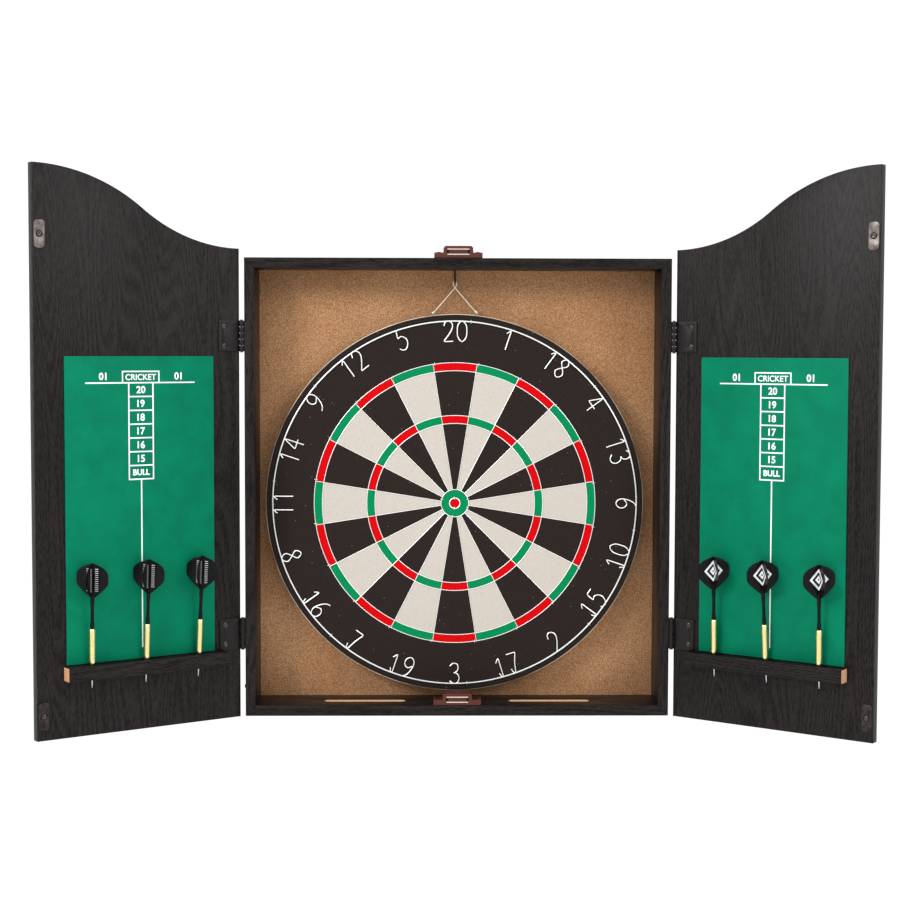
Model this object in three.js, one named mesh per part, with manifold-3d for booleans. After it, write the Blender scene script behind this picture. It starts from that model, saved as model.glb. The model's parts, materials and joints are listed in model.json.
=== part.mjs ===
// A dart board cabinet: a shallow wall box with two arched doors, a hung dart board and six darts.
// Millimetres. The origin is the centre of the box's back face. +X right, +Y into the wall, +Z up.
import * as THREE from "three";
import { mergeVertices } from "three/addons/utils/BufferGeometryUtils.js";
import Module from "manifold-3d";

const wasm = await Module();
wasm.setup();

// ---------------------------------------------------------------- driving dimensions

// Clearances
const seatGap = 0.25; // between two pieces that are screwed, glued or pressed together
const mitreGap = 0.1; // glue line in the box's four mitred corners
const runGap = 0.3; // between two pieces that move on each other
const touchGap = 0.1; // under a wire or a screw's head that lies on a face
const noseClearance = 0.4; // round a dart's nose where it sits in its hole
const overrun = 1; // how far a cutter or a joined piece passes the face it meets

// Box: four mitred boards round a thin back panel, as wide and high as the dart board needs
const boardRadius = 228.3;
const boardGapSide = 12.2; // dart board's rim to the box's side boards, were it in the middle
const boardGapAbove = 53.2;
const boardGapBelow = 11.2;
const cabinetDepth = 71;
const boardThickness = 12;
const backThickness = 3;
const rebateDepth = 6; // how far the back panel reaches into each board
const wallHoleRadius = 2.5;
const wallHoleSpacingX = 160;
const wallHoleSpacingZ = 120;

// Two slots through the bottom board
const slotLength = 98;
const slotWidth = 11;
const slotFromFront = 31.5; // front edge to the slot's centre line
const slotFromCentre = 111.5;

// Doors
const doorThickness = 12;
const doorAbove = 10.3; // the door's hinge side stands above the box
const doorBelow = 1.2; // and hangs below it
const crownRise = 86.5; // from the hinge side up to the free edge
const crownTurn = 0.48; // where the S curve turns over, as a part of the door's width
const closedGap = 1.8; // door face to box front
const meetingGap = 1.6; // between the two closed doors
const leftDoorOpen = 146.6; // degrees open as the object stands
const rightDoorOpen = 143.1;

// Butt hinges
const hingeLength = 36.5;
const hingeReach = 29; // from the pin's axis to the leaf's free edge
const leafThickness = 1.2;
const knuckleRadius = 3;
const knuckleCount = 5;
const pinRadius = 1.2;
const pinHeadRadius = 2.2;
const pinHeadHeight = 0.8;
const hingeScrewReach = 21.5;
const hingeScrewSpacing = 23;
const hingeScrewRadius = 1.9;
const hingeFromBottom = 99; // box bottom to the lower hinge's middle
const hingeFromTop = 92.5; // box top to the upper hinge's middle
const doorEdgeReach = 1.2; // pin axis to the door's hinge edge

// Magnetic catches and the strike plates on the doors
const catchBaseWidth = 57;
const catchBaseHeight = 6.5;
const catchBoxWidth = 35;
const catchBoxHeight = 14.3;
const catchChamfer = 2.2;
const catchDepth = 22;
const catchRecess = 1; // the housing stands this far behind the box front
const catchScrewRadius = 1.9;
const polePlateWidth = 26;
const polePlateThickness = 1.4;
const polePlateDepth = 13;
const lowerPoleHeight = 4.3;
const upperPoleHeight = 10.4;
const poleProud = 1.2; // pole plates past the housing's face
const magnetInset = 1.5; // magnet behind the pole plates' edges
const strikeWidth = 12.7;
const strikeHeight = 31;
const strikeThickness = 1;
const strikeCorner = 4;
const strikeFromFreeEdge = 7.4; // door's free edge to the plate's centre line
const upperStrikeAboveBox = 18.5; // box top to the plate's middle
const lowerStrikeAboveBox = 26.6; // box bottom to the plate's middle
const strikeHoleRadius = 1.9;
const screwHeadRadius = 3;
const screwHeadHeight = 0.5;
const screwShankRadius = 1.2;
const screwLength = 8;

// Scoreboards and dart racks on the doors' inner faces
const scoreThickness = 1.5;
const scoreFromHingeEdge = 35;
const scoreFromFreeEdge = 34.75;
const scoreBelowTop = 116.25; // box top down to the scoreboard's top
const scoreAboveRack = 1.5;
const rackHeight = 16;
const rackDepth = 15;
const rackFromHingeEdge = 22;
const rackFromFreeEdge = 31.75;
const rackBelowHinge = 0.5; // rack's top to the lower hinge's leaf
const rackHoleRadius = 2.75;
const rackHoleOut = 8.5; // door face to the holes' centre line
const rackHoleFromStart = 37; // rack's hinge end to the first hole
const rackHoleFromEnd = 30; // last hole to the rack's free end

// Darts: each stands in its hole on its nose and leans back against the scoreboard
const barrelRadius = 3.6;
const barrelLength = 43;
const noseRadius = 2;
const noseLength = 4;
const pointRadius = 1.15;
const pointLength = 26;
const pointTaper = 6;
const barrelBevel = 0.8;
const shaftRadius = 2.4;
const shaftTipRadius = 1.9;
const shaftTaper = 7; // how far below the flight's root the shaft starts to narrow
const shaftLength = 34;
const shaftGrip = 8; // length of shaft held inside the flight's root
const flightLength = 41;
const flightRadius = 19;
const flightThickness = 0.6;
const flightRootReach = 3; // shaft's axis to the wing's edge at the root
const flightLowCorner = 18; // root to where the wings reach their full width
const flightShoulder = 30; // root to where they start to narrow again
const flightCrownReach = 10.5; // shaft's axis to the wing's last corner
const flightCrownDrop = 2.5; // flight's top down to that corner
const leftDartSideLean = [-0.4, 0, 1.2]; // degrees from the hinge side outwards
const rightDartSideLean = [1.3, -0.75, 1.2];

// Dart board
const boardDepth = 26;
const bandThickness = 1.2;
const bandLip = 0.4; // band past the board's faces
const boardClearBack = 1; // board's back to the back panel
const boardShiftX = -3; // the board hangs a little left of the box's centre
const wireSize = 1.4;
const nominalRadius = 228.3; // the board radius for which the rings have the sizes below
const nominalBull = 6.35;
const nominalRings = [16.6, 96.6, 106.3, 160.2, 170];
const nominalReach = 172.5; // how far the spokes reach
const segmentCount = 20;

// Number ring
const numberRingInset = 8.4; // board's rim to the middle of the ring's wire
const numberWire = 2;
const strokeWire = 1.6;
const numeralHeight = 25;
const numeralWidth = 11.5;
const numeralSpacing = 5;
const numeralOverlap = 0.8; // how far a numeral's end sinks into the ring
const numbers = [20, 1, 18, 4, 13, 6, 10, 15, 2, 17, 3, 19, 7, 16, 8, 11, 14, 9, 12, 5];
const readFromCentre = [10, 15, 2, 17, 3, 19, 7, 16, 8]; // their feet are on the ring

// Hanger wire and its hook
const hookRadius = 1.5;
const hookDrop = 15; // top board's underside to the hook's leg
const hookFromBack = 5; // back panel to the hook's shank
const hookLeg = 8;
const hookTip = 2.4; // the tip stands above the leg
const hookThread = 8;
const boardLift = 3; // upward travel that frees the hanger from the hook
const hangerWire = 1.4;
const hangerSpread = 27.5;
const eyeWidth = 5;

// ---------------------------------------------------------------- derived places

const front = -cabinetDepth;
const innerHalfWidth = boardRadius + boardGapSide;
const innerHalfHeight = boardRadius + (boardGapAbove + boardGapBelow) / 2;
const cabinetWidth = 2 * (innerHalfWidth + boardThickness);
const cabinetHeight = 2 * (innerHalfHeight + boardThickness);
const boardShiftZ = boardGapBelow + boardRadius - innerHalfHeight;
const ringScale = boardRadius / nominalRadius;
const innerBullRadius = nominalBull * ringScale;
const ringRadii = nominalRings.map((radius) => radius * ringScale);
const spiderReach = nominalReach * ringScale;
const faceReach = knuckleRadius + seatGap; // pin axis to the face a leaf lies on
const axisX = cabinetWidth / 2 + faceReach;
const axisY = front - closedGap + faceReach;
const doorWidth = axisX - doorEdgeReach - meetingGap / 2;
const doorBottom = -cabinetHeight / 2 - doorBelow;
const doorHingeHeight = cabinetHeight + doorBelow + doorAbove;
const upperHingeZ = cabinetHeight / 2 - hingeFromTop;
const lowerHingeZ = -cabinetHeight / 2 + hingeFromBottom;
const rackTop = lowerHingeZ - hingeLength / 2 - rackBelowHinge;
const rackBottom = rackTop - rackHeight;
const rackLength = doorWidth - rackFromHingeEdge - rackFromFreeEdge;
const rackHoleSpan = rackLength - rackHoleFromStart - rackHoleFromEnd;
const scoreWidth = doorWidth - scoreFromHingeEdge - scoreFromFreeEdge;
const scoreLow = rackTop + scoreAboveRack;
const scoreHigh = cabinetHeight / 2 - scoreBelowTop;
const boardBack = -backThickness - boardClearBack;
const boardFace = boardBack - boardDepth;
const hangerPlane = -backThickness - hookFromBack - hookRadius - runGap - hangerWire;
const hookLegZ = innerHalfHeight - hookDrop;
const numberRingRadius = boardRadius - numberRingInset;
const boardSides = 48; // flat sides that stand for the board's round rim
const wireRingSides = 32;
const bullRingSides = 20;
const eyeInnerHeight = 2 * hookRadius + boardLift + 2 * runGap;
const eyeCentreZ = hookLegZ + hookRadius + runGap - eyeInnerHeight / 2;

// ---------------------------------------------------------------- finishes

const finishes = {
  foil: { color: 0x2f2b2a, roughness: 0.55, metalness: 0 },
  hardboard: { color: 0xa87c55, roughness: 0.85, metalness: 0 },
  chalkboard: { color: 0x008762, roughness: 0.6, metalness: 0 },
  blackSteel: { color: 0x26242a, roughness: 0.45, metalness: 0.6 },
  zincSteel: { color: 0xb8b2ac, roughness: 0.35, metalness: 1 },
  wire: { color: 0xccd2d6, roughness: 0.3, metalness: 1 },
  brownPlastic: { color: 0x6b453c, roughness: 0.5, metalness: 0 },
  boardPaper: { color: 0x2b2623, roughness: 0.9, metalness: 0 },
  band: { color: 0x1c1a19, roughness: 0.4, metalness: 0.7 },
  brass: { color: 0xd9c97e, roughness: 0.35, metalness: 1 },
  shaftPlastic: { color: 0x141416, roughness: 0.35, metalness: 0 },
  flightFilm: { color: 0x17171a, roughness: 0.3, metalness: 0 },
};

// ---------------------------------------------------------------- solid helpers

// A closed geometry as a solid that can be joined and cut.
function solidOf(geometry) {
  const plain = geometry.index ? geometry.toNonIndexed() : geometry.clone();
  plain.deleteAttribute("normal");
  plain.deleteAttribute("uv");
  const merged = mergeVertices(plain, 1e-4);
  const vertProperties = merged.getAttribute("position").array;
  const triVerts = new Uint32Array(merged.index.array);
  return new wasm.Manifold(new wasm.Mesh({ numProp: 3, vertProperties, triVerts }));
}

function geometryOf(solid) {
  const mesh = solid.getMesh();
  const geometry = new THREE.BufferGeometry();
  geometry.setAttribute("position", new THREE.BufferAttribute(mesh.vertProperties, 3));
  geometry.setIndex(new THREE.BufferAttribute(mesh.triVerts, 1));
  return geometry.toNonIndexed();
}

function join(pieces) {
  return geometryOf(pieces.map(solidOf).reduce((sum, piece) => sum.add(piece)));
}

function cut(base, tools) {
  return geometryOf(tools.map(solidOf).reduce((rest, tool) => rest.subtract(tool), solidOf(base)));
}

function box(x0, x1, y0, y1, z0, z1) {
  const size = [x1 - x0, y1 - y0, z1 - z0].map(Math.abs);
  return new THREE.BoxGeometry(...size).translate((x0 + x1) / 2, (y0 + y1) / 2, (z0 + z1) / 2);
}

// A shape drawn in X and Z, given a thickness from y0 to y1.
function plate(shape, y0, y1, curveSegments = 6) {
  const depth = y1 - y0;
  const geometry = new THREE.ExtrudeGeometry(shape, { depth, bevelEnabled: false, curveSegments });
  return geometry.rotateX(Math.PI / 2).translate(0, y1, 0);
}

function outline(points) {
  return new THREE.Shape(points.map(([x, z]) => new THREE.Vector2(x, z)));
}

function rodZ(radius, z0, z1, x, y, sides = 12) {
  const rod = new THREE.CylinderGeometry(radius, radius, z1 - z0, sides);
  return rod.rotateX(Math.PI / 2).translate(x, y, (z0 + z1) / 2);
}

function rodY(radius, y0, y1, x, z, sides = 12) {
  return new THREE.CylinderGeometry(radius, radius, y1 - y0, sides).translate(x, (y0 + y1) / 2, z);
}

// A ring of rectangular section round the Y axis through (x, z).
function ringY(inner, outer, y0, y1, x, z, sides) {
  const profile = [[inner, y0], [outer, y0], [outer, y1], [inner, y1], [inner, y0]];
  const points = profile.map(([r, y]) => new THREE.Vector2(r, y));
  return new THREE.LatheGeometry(points, sides).translate(x, 0, z);
}

// A rectangle with round corners about (x, z).
function roundedRectangle(x, z, width, height, corner) {
  const [left, right, low, high] = [x - width / 2, x + width / 2, z - height / 2, z + height / 2];
  const shape = new THREE.Shape();
  shape.moveTo(left + corner, low);
  shape.lineTo(right - corner, low);
  shape.absarc(right - corner, low + corner, corner, -Math.PI / 2, 0);
  shape.lineTo(right, high - corner);
  shape.absarc(right - corner, high - corner, corner, 0, Math.PI / 2);
  shape.lineTo(left + corner, high);
  shape.absarc(left + corner, high - corner, corner, Math.PI / 2, Math.PI);
  shape.lineTo(left, low + corner);
  shape.absarc(left + corner, low + corner, corner, Math.PI, 1.5 * Math.PI);
  return shape;
}

function addPart(group, name, geometry, finish) {
  const mesh = new THREE.Mesh(geometry, new THREE.MeshStandardMaterial(finishes[finish]));
  mesh.name = name;
  group.add(mesh);
}

const object = new THREE.Group();

// ---------------------------------------------------------------- box

// Pocket that the back panel sits in, rebated into the rear of all four boards.
function backPocket(clearance) {
  const x = innerHalfWidth + rebateDepth + clearance;
  const z = innerHalfHeight + rebateDepth + clearance;
  return box(-x, x, -backThickness - clearance, overrun, -z, z);
}

function addBox(group) {
  const [outX, outZ] = [cabinetWidth / 2, cabinetHeight / 2];
  for (const [name, side] of [["cabinet_left_side", -1], ["cabinet_right_side", 1]]) {
    const corners = [
      [side * outX, mitreGap - outZ],
      [side * outX, outZ - mitreGap],
      [side * innerHalfWidth, innerHalfHeight - mitreGap],
      [side * innerHalfWidth, mitreGap - innerHalfHeight],
    ];
    const board = plate(outline(corners), front, 0);
    addPart(group, name, cut(board, [backPocket(seatGap)]), "foil");
  }
  const flatBoard = (sign) => {
    const corners = [
      [-outX, sign * outZ],
      [outX, sign * outZ],
      [innerHalfWidth, sign * innerHalfHeight],
      [-innerHalfWidth, sign * innerHalfHeight],
    ];
    return plate(outline(corners), front, 0);
  };
  const hookY = -backThickness - hookFromBack;
  const hookBore = rodZ(
    hookRadius + seatGap,
    innerHalfHeight - overrun,
    innerHalfHeight + hookThread + seatGap,
    boardShiftX,
    hookY,
  );
  addPart(group, "cabinet_top", cut(flatBoard(1), [backPocket(seatGap), hookBore]), "foil");
  const slots = [-1, 1].map((side) => slotCutter(side * slotFromCentre));
  addPart(group, "cabinet_bottom", cut(flatBoard(-1), [backPocket(seatGap), ...slots]), "foil");
}

// A round-ended slot through the bottom board, centred at x.
function slotCutter(x) {
  const corner = slotWidth / 2 - 0.01; // a hair under half, so no edge of the outline vanishes
  const shape = roundedRectangle(x, -front - slotFromFront, slotLength, slotWidth, corner);
  const depth = boardThickness + 2 * overrun;
  const cutter = new THREE.ExtrudeGeometry(shape, { depth, bevelEnabled: false, curveSegments: 4 });
  return cutter.scale(1, -1, -1).translate(0, 0, overrun - innerHalfHeight);
}

function addBackPanel(group) {
  const [x, z] = [innerHalfWidth + rebateDepth, innerHalfHeight + rebateDepth];
  const holes = [];
  for (const sideX of [-1, 1]) {
    for (const sideZ of [-1, 1]) {
      const place = [(sideX * wallHoleSpacingX) / 2, (sideZ * wallHoleSpacingZ) / 2];
      holes.push(rodY(wallHoleRadius, -backThickness - overrun, overrun, ...place));
    }
  }
  addPart(group, "back_panel", cut(box(-x, x, -backThickness, 0, -z, z), holes), "hardboard");
}

// A square screw hook in the top board: shank down, leg forwards, tip up.
function addHook(group) {
  const y = -backThickness - hookFromBack;
  const shank = rodZ(hookRadius, hookLegZ, innerHalfHeight + hookThread, boardShiftX, y);
  const leg = rodY(hookRadius, y - hookLeg, y, boardShiftX, hookLegZ);
  const tipTop = hookLegZ + hookRadius + hookTip;
  const tip = rodZ(hookRadius, hookLegZ, tipTop, boardShiftX, y - hookLeg);
  addPart(group, "board_hook", join([shank, leg, tip]), "blackSteel");
}

// ---------------------------------------------------------------- magnetic catches

// One catch standing on a board whose upper face is at z.
function addCatch(group, name, z) {
  const faceY = front + catchRecess;
  const [base, half] = [catchBaseWidth / 2, catchBoxWidth / 2];
  const [low, ear, high] = [z + seatGap, z + catchBaseHeight, z + catchBoxHeight];
  const corners = [
    [-base, low],
    [base, low],
    [base, ear],
    [half, ear],
    [half, high - catchChamfer],
    [half - catchChamfer, high],
    [catchChamfer - half, high],
    [-half, high - catchChamfer],
    [-half, ear],
    [-base, ear],
  ];
  const block = plate(outline(corners), faceY, faceY + catchDepth);
  const poleFront = faceY - poleProud;
  const poleBack = poleFront + polePlateDepth;
  const halfPole = polePlateThickness / 2;
  const pocketX = polePlateWidth / 2 + seatGap;
  const pocket = box(
    -pocketX,
    pocketX,
    faceY - overrun,
    poleBack + seatGap,
    z + lowerPoleHeight - halfPole - seatGap,
    z + upperPoleHeight + halfPole + seatGap,
  );
  const earX = (base + half) / 2;
  const screwY = faceY + catchDepth / 2;
  const screws = [-earX, earX].map((x) => {
    return rodZ(catchScrewRadius, low - overrun, ear + overrun, x, screwY, 10);
  });
  addPart(group, name + "_housing", cut(block, [pocket, ...screws]), "brownPlastic");

  const plates = [lowerPoleHeight, upperPoleHeight].map((height) => {
    const x = polePlateWidth / 2;
    return box(-x, x, poleFront, poleBack, z + height - halfPole, z + height + halfPole);
  });
  const magnetX = polePlateWidth / 2 - magnetInset;
  const magnet = box(
    -magnetX,
    magnetX,
    poleFront + magnetInset,
    poleBack - magnetInset,
    z + lowerPoleHeight,
    z + upperPoleHeight,
  );
  addPart(group, name + "_magnet", join([...plates, magnet]), "zincSteel");
}

// ---------------------------------------------------------------- hinges

// The heights at which one leaf's knuckles start and end, about the hinge's middle.
function knuckleSpans(first) {
  const length = (hingeLength - (knuckleCount - 1) * runGap) / knuckleCount;
  const spans = [];
  for (let i = first; i < knuckleCount; i += 2) {
    const low = -hingeLength / 2 + i * (length + runGap);
    spans.push([low, low + length]);
  }
  return spans;
}

// A leaf along +X from the pin's axis, lying on y = -knuckleRadius.
function hingeLeaf(first) {
  const faceY = -knuckleRadius;
  const backY = faceY + leafThickness;
  const clear = knuckleRadius + runGap;
  const solids = [box(clear, hingeReach, faceY, backY, -hingeLength / 2, hingeLength / 2)];
  for (const [low, high] of knuckleSpans(first)) {
    const tab = box(0, clear + overrun, faceY, backY, low, high);
    solids.push(rodZ(knuckleRadius, low, high, 0, 0, 8), tab);
  }
  const bore = rodZ(pinRadius + runGap, -hingeLength, hingeLength, 0, 0, 8);
  const screws = [-1, 1].map((side) => {
    const z = (side * hingeScrewSpacing) / 2;
    return rodY(hingeScrewRadius, faceY - overrun, backY + overrun, hingeScrewReach, z, 8);
  });
  return cut(join(solids), [bore, ...screws]);
}

function hingePin() {
  const half = hingeLength / 2 + runGap;
  const rod = rodZ(pinRadius, -half - pinHeadHeight / 2, half + pinHeadHeight / 2, 0, 0, 8);
  const lowHead = rodZ(pinHeadRadius, -half - pinHeadHeight, -half, 0, 0, 8);
  const highHead = rodZ(pinHeadRadius, half, half + pinHeadHeight, 0, 0, 8);
  return join([rod, lowHead, highHead]);
}

// Both leaves and the pin of one hinge. side is -1 on the left and 1 on the right.
function addHinge(group, door, name, side, z) {
  const doorLeaf = hingeLeaf(1);
  const boxLeaf = hingeLeaf(0).rotateZ(Math.PI / 2);
  if (side > 0) {
    // Half a turn about Y puts the door leaf along -X, on the same door face.
    doorLeaf.rotateY(Math.PI);
    boxLeaf.rotateX(Math.PI).rotateZ(Math.PI);
  }
  addPart(door, name + "_door_leaf", doorLeaf.translate(0, 0, z), "blackSteel");
  addPart(group, name + "_box_leaf", boxLeaf.translate(side * axisX, axisY, z), "blackSteel");
  addPart(group, name + "_pin", hingePin().translate(side * axisX, axisY, z), "zincSteel");
}

// ---------------------------------------------------------------- doors

// Height of the S-shaped crown above the door's hinge side, at a distance from the hinge edge.
function crownHeight(reach) {
  const turn = crownTurn * doorWidth;
  const lowRise = crownTurn * crownRise;
  if (reach <= turn) {
    const radius = (turn ** 2 + lowRise ** 2) / (2 * lowRise);
    return radius - Math.sqrt(radius ** 2 - reach ** 2);
  }
  const rest = doorWidth - turn;
  const highRise = crownRise - lowRise;
  const radius = (rest ** 2 + highRise ** 2) / (2 * highRise);
  return crownRise - radius + Math.sqrt(radius ** 2 - (doorWidth - reach) ** 2);
}

// Everything on one door, drawn closed about the hinge's axis and then swung open.
function addDoor(group, name, side, openDegrees, sideLeans) {
  const door = new THREE.Group();
  door.position.set(side * axisX, axisY, 0);
  door.rotation.z = (side * openDegrees * Math.PI) / 180;
  group.add(door);
  const across = (reach) => -side * (doorEdgeReach + reach); // X at a distance from the hinge edge
  const face = -faceReach; // the door's inner face

  const crownSteps = 18;
  const edge = [[across(0), doorBottom], [across(doorWidth), doorBottom]];
  for (let i = crownSteps; i >= 0; i--) {
    const reach = (i / crownSteps) * doorWidth;
    edge.push([across(reach), doorBottom + doorHingeHeight + crownHeight(reach)]);
  }
  const strikeX = across(doorWidth - strikeFromFreeEdge);
  const strikes = [
    ["upper", cabinetHeight / 2 + upperStrikeAboveBox],
    ["lower", -cabinetHeight / 2 + lowerStrikeAboveBox],
  ];
  const pilots = strikes.map(([, z]) => {
    return rodY(screwShankRadius + seatGap, face - screwLength, face + overrun, strikeX, z, 8);
  });
  const panel = plate(outline(edge), face - doorThickness, face);
  addPart(door, name + "_door_panel", cut(panel, pilots), "foil");

  for (const [level, z] of strikes) {
    const backY = face + seatGap;
    const shape = roundedRectangle(strikeX, z, strikeWidth, strikeHeight, strikeCorner);
    const strike = plate(shape, backY, backY + strikeThickness, 3);
    const strikeFront = backY + strikeThickness;
    const hole = rodY(strikeHoleRadius, backY - overrun, strikeFront + overrun, strikeX, z, 10);
    addPart(door, `${name}_${level}_strike`, cut(strike, [hole]), "zincSteel");
    const headY = strikeFront + touchGap;
    const shankTop = headY + screwHeadHeight / 2;
    const head = rodY(screwHeadRadius, headY, headY + screwHeadHeight, strikeX, z, 10);
    const shank = rodY(screwShankRadius, shankTop - screwLength, shankTop, strikeX, z, 8);
    addPart(door, `${name}_${level}_strike_screw`, join([head, shank]), "zincSteel");
  }

  const scoreboard = box(
    across(scoreFromHingeEdge),
    across(scoreFromHingeEdge + scoreWidth),
    face + seatGap,
    face + seatGap + scoreThickness,
    scoreLow,
    scoreHigh,
  );
  addPart(door, name + "_scoreboard", scoreboard, "chalkboard");

  const rackEnds = [across(rackFromHingeEdge), across(rackFromHingeEdge + rackLength)];
  const rack = box(...rackEnds, face + seatGap, face + rackDepth, rackBottom, rackTop);
  const firstHole = rackFromHingeEdge + rackHoleFromStart;
  const reaches = [0, 1, 2].map((i) => firstHole + (i * rackHoleSpan) / 2);
  const holes = reaches.map((reach) => {
    return rodZ(rackHoleRadius, rackBottom - overrun, rackTop + overrun, across(reach), face + rackHoleOut);
  });
  addPart(door, name + "_dart_rack", cut(rack, holes), "foil");

  addHinge(group, door, name + "_upper_hinge", side, upperHingeZ);
  addHinge(group, door, name + "_lower_hinge", side, lowerHingeZ);

  reaches.forEach((reach, i) => {
    const place = [across(reach), face + rackHoleOut, rackTop];
    addDart(door, `${name}_dart_${i + 1}`, place, side, sideLeans[i]);
  });
}

// ---------------------------------------------------------------- darts

// Outward lean at which two wings of the flight rest on the scoreboard.
function dartLean() {
  const wingReach = flightRadius * Math.SQRT1_2;
  const needed = wingReach + scoreThickness + seatGap + runGap + flightThickness - rackHoleOut;
  return Math.atan(needed / (barrelLength + shaftLength + flightLowCorner));
}

function addDart(door, name, place, side, sideLean) {
  const dart = new THREE.Group();
  dart.position.set(...place);
  dart.rotation.x = -dartLean();
  dart.rotation.y = (-side * sideLean * Math.PI) / 180;
  door.add(dart);

  // The nose stops where its cone has the hole's radius less a clearance.
  const seatRadius = rackHoleRadius - noseClearance;
  const nose = (-(seatRadius - noseRadius) / (barrelRadius - noseRadius)) * noseLength;
  const top = nose + barrelLength;
  const barrelProfile = [
    [0, nose - pointLength],
    [pointRadius, nose - pointLength + pointTaper],
    [pointRadius, nose],
    [noseRadius, nose],
    [barrelRadius, nose + noseLength],
    [barrelRadius, top - barrelBevel],
    [barrelRadius - barrelBevel, top],
    [0, top],
  ];
  addPart(dart, name + "_barrel", turned(barrelProfile, 10), "brass");

  const shaftLow = top + seatGap;
  const shaftTop = shaftLow + shaftLength + shaftGrip;
  const shaftProfile = [
    [0, shaftLow],
    [shaftRadius, shaftLow],
    [shaftRadius, shaftLow + shaftLength - shaftTaper],
    [shaftTipRadius, shaftTop],
    [0, shaftTop],
  ];
  addPart(dart, name + "_shaft", turned(shaftProfile, 8), "shaftPlastic");

  const root = shaftLow + shaftLength;
  const wings = [
    [flightRootReach, root],
    [flightRadius, root + flightLowCorner],
    [flightRadius, root + flightShoulder],
    [flightCrownReach, root + flightLength - flightCrownDrop],
    [0, root + flightLength],
  ];
  const mirrored = wings.slice(0, -1).reverse().map(([x, z]) => [-x, z]);
  const half = flightThickness / 2;
  const wing = plate(outline([...wings, ...mirrored]), -half, half);
  const pair = [wing.clone().rotateZ(Math.PI / 4), wing.clone().rotateZ(-Math.PI / 4)];
  const socket = rodZ(shaftRadius + seatGap, root - overrun, shaftTop + seatGap, 0, 0, 8);
  addPart(dart, name + "_flight", cut(join(pair), [socket]), "flightFilm");
}

// A profile of [radius, height] pairs turned about Z.
function turned(profile, sides) {
  const points = profile.map(([radius, height]) => new THREE.Vector2(radius, height));
  return new THREE.LatheGeometry(points, sides).rotateX(Math.PI / 2);
}

// ---------------------------------------------------------------- dart board

function addDartboard(group) {
  const coreRadius = boardRadius - bandThickness - seatGap;
  const core = rodY(coreRadius, boardFace, boardBack, boardShiftX, boardShiftZ, boardSides);
  addPart(group, "dartboard_core", core, "boardPaper");
  const bandInner = boardRadius - bandThickness;
  const bandSpan = [boardFace - bandLip, boardBack + bandLip];
  const band = ringY(bandInner, boardRadius, ...bandSpan, boardShiftX, boardShiftZ, boardSides);
  addPart(group, "dartboard_rim_band", band, "band");

  const wireBack = boardFace - touchGap;
  const wireFront = wireBack - wireSize;
  const half = wireSize / 2;
  const circles = ringRadii.map((radius) => {
    const span = [radius - half, radius + half, wireFront, wireBack];
    const sides = radius < ringRadii[1] ? bullRingSides : wireRingSides;
    return ringY(...span, boardShiftX, boardShiftZ, sides);
  });
  const spokes = [];
  for (let i = 0; i < segmentCount; i++) {
    const turn = ((i + 0.5) / segmentCount) * 2 * Math.PI;
    const spoke = box(-half, half, wireFront, wireBack, ringRadii[0], spiderReach);
    spokes.push(spoke.rotateY(turn).translate(boardShiftX, 0, boardShiftZ));
  }
  addPart(group, "dartboard_spider", join([...circles, ...spokes]), "wire");
  const bullSpan = [innerBullRadius - half, innerBullRadius + half, wireFront, wireBack];
  const bullRing = ringY(...bullSpan, boardShiftX, boardShiftZ, bullRingSides);
  addPart(group, "dartboard_bull_ring", bullRing, "wire");
}

// Bent-wire figures as the corners of their strokes, in parts of their width and height.
const figures = {
  0: [[0, 0], [1, 0], [1, 1], [0, 1], [0, 0]],
  1: [[0.5, 0], [0.5, 1]],
  2: [[0, 0.8], [0.2, 1], [1, 0.75], [0, 0], [1, 0]],
  3: [[0, 1], [1, 1], [0.4, 0.55], [1, 0.3], [0.6, 0], [0, 0]],
  4: [[0.7, 0], [0.7, 1], [0, 0.35], [1, 0.35]],
  5: [[1, 1], [0.1, 1], [0, 0.6], [1, 0.4], [0.7, 0], [0, 0]],
  6: [[0.8, 1], [0, 0.35], [0.4, 0], [1, 0.25], [0.5, 0.5]],
  7: [[0, 1], [1, 1], [0.4, 0]],
  8: [[0.5, 0], [0, 0.25], [1, 0.75], [0.5, 1], [0, 0.75], [1, 0.25], [0.5, 0]],
  9: [[0.2, 0], [1, 0.65], [0.6, 1], [0, 0.75], [0.5, 0.5]],
};

function addNumberRing(group) {
  const half = numberWire / 2;
  const back = boardFace - bandLip - touchGap;
  const frontY = back - numberWire;
  const inner = numberRingRadius - half;
  const ring = ringY(inner, numberRingRadius + half, frontY, back, boardShiftX, boardShiftZ, boardSides);
  const strokeBack = back - (numberWire - strokeWire) / 2;
  const strokeY = [strokeBack - strokeWire, strokeBack];
  const pieces = [ring];
  numbers.forEach((number, i) => {
    const digits = String(number).split("");
    const feetOut = readFromCentre.includes(number);
    const run = digits.length * numeralWidth + (digits.length - 1) * numeralSpacing;
    digits.forEach((digit, place) => {
      const start = place * (numeralWidth + numeralSpacing) - run / 2;
      const corners = figures[digit].map(([across, up]) => {
        const height = up * numeralHeight;
        const radius = inner + numeralOverlap - (feetOut ? height : numeralHeight - height);
        const x = start + across * numeralWidth;
        return new THREE.Vector2(feetOut ? -x : x, radius);
      });
      for (let k = 1; k < corners.length; k++) {
        const stroke = strokeBar(corners[k - 1], corners[k], strokeY);
        stroke.rotateY((i / segmentCount) * 2 * Math.PI);
        pieces.push(stroke.translate(boardShiftX, 0, boardShiftZ));
      }
    });
  });
  addPart(group, "number_ring", join(pieces), "wire");
}

// A square bar between two points in X and Z.
function strokeBar(from, to, [y0, y1]) {
  const along = to.clone().sub(from);
  const half = strokeWire / 2;
  const bar = box(-half, along.length() + half, y0, y1, -half, half);
  return bar.rotateY(-along.angle()).translate(from.x, 0, from.y);
}

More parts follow.
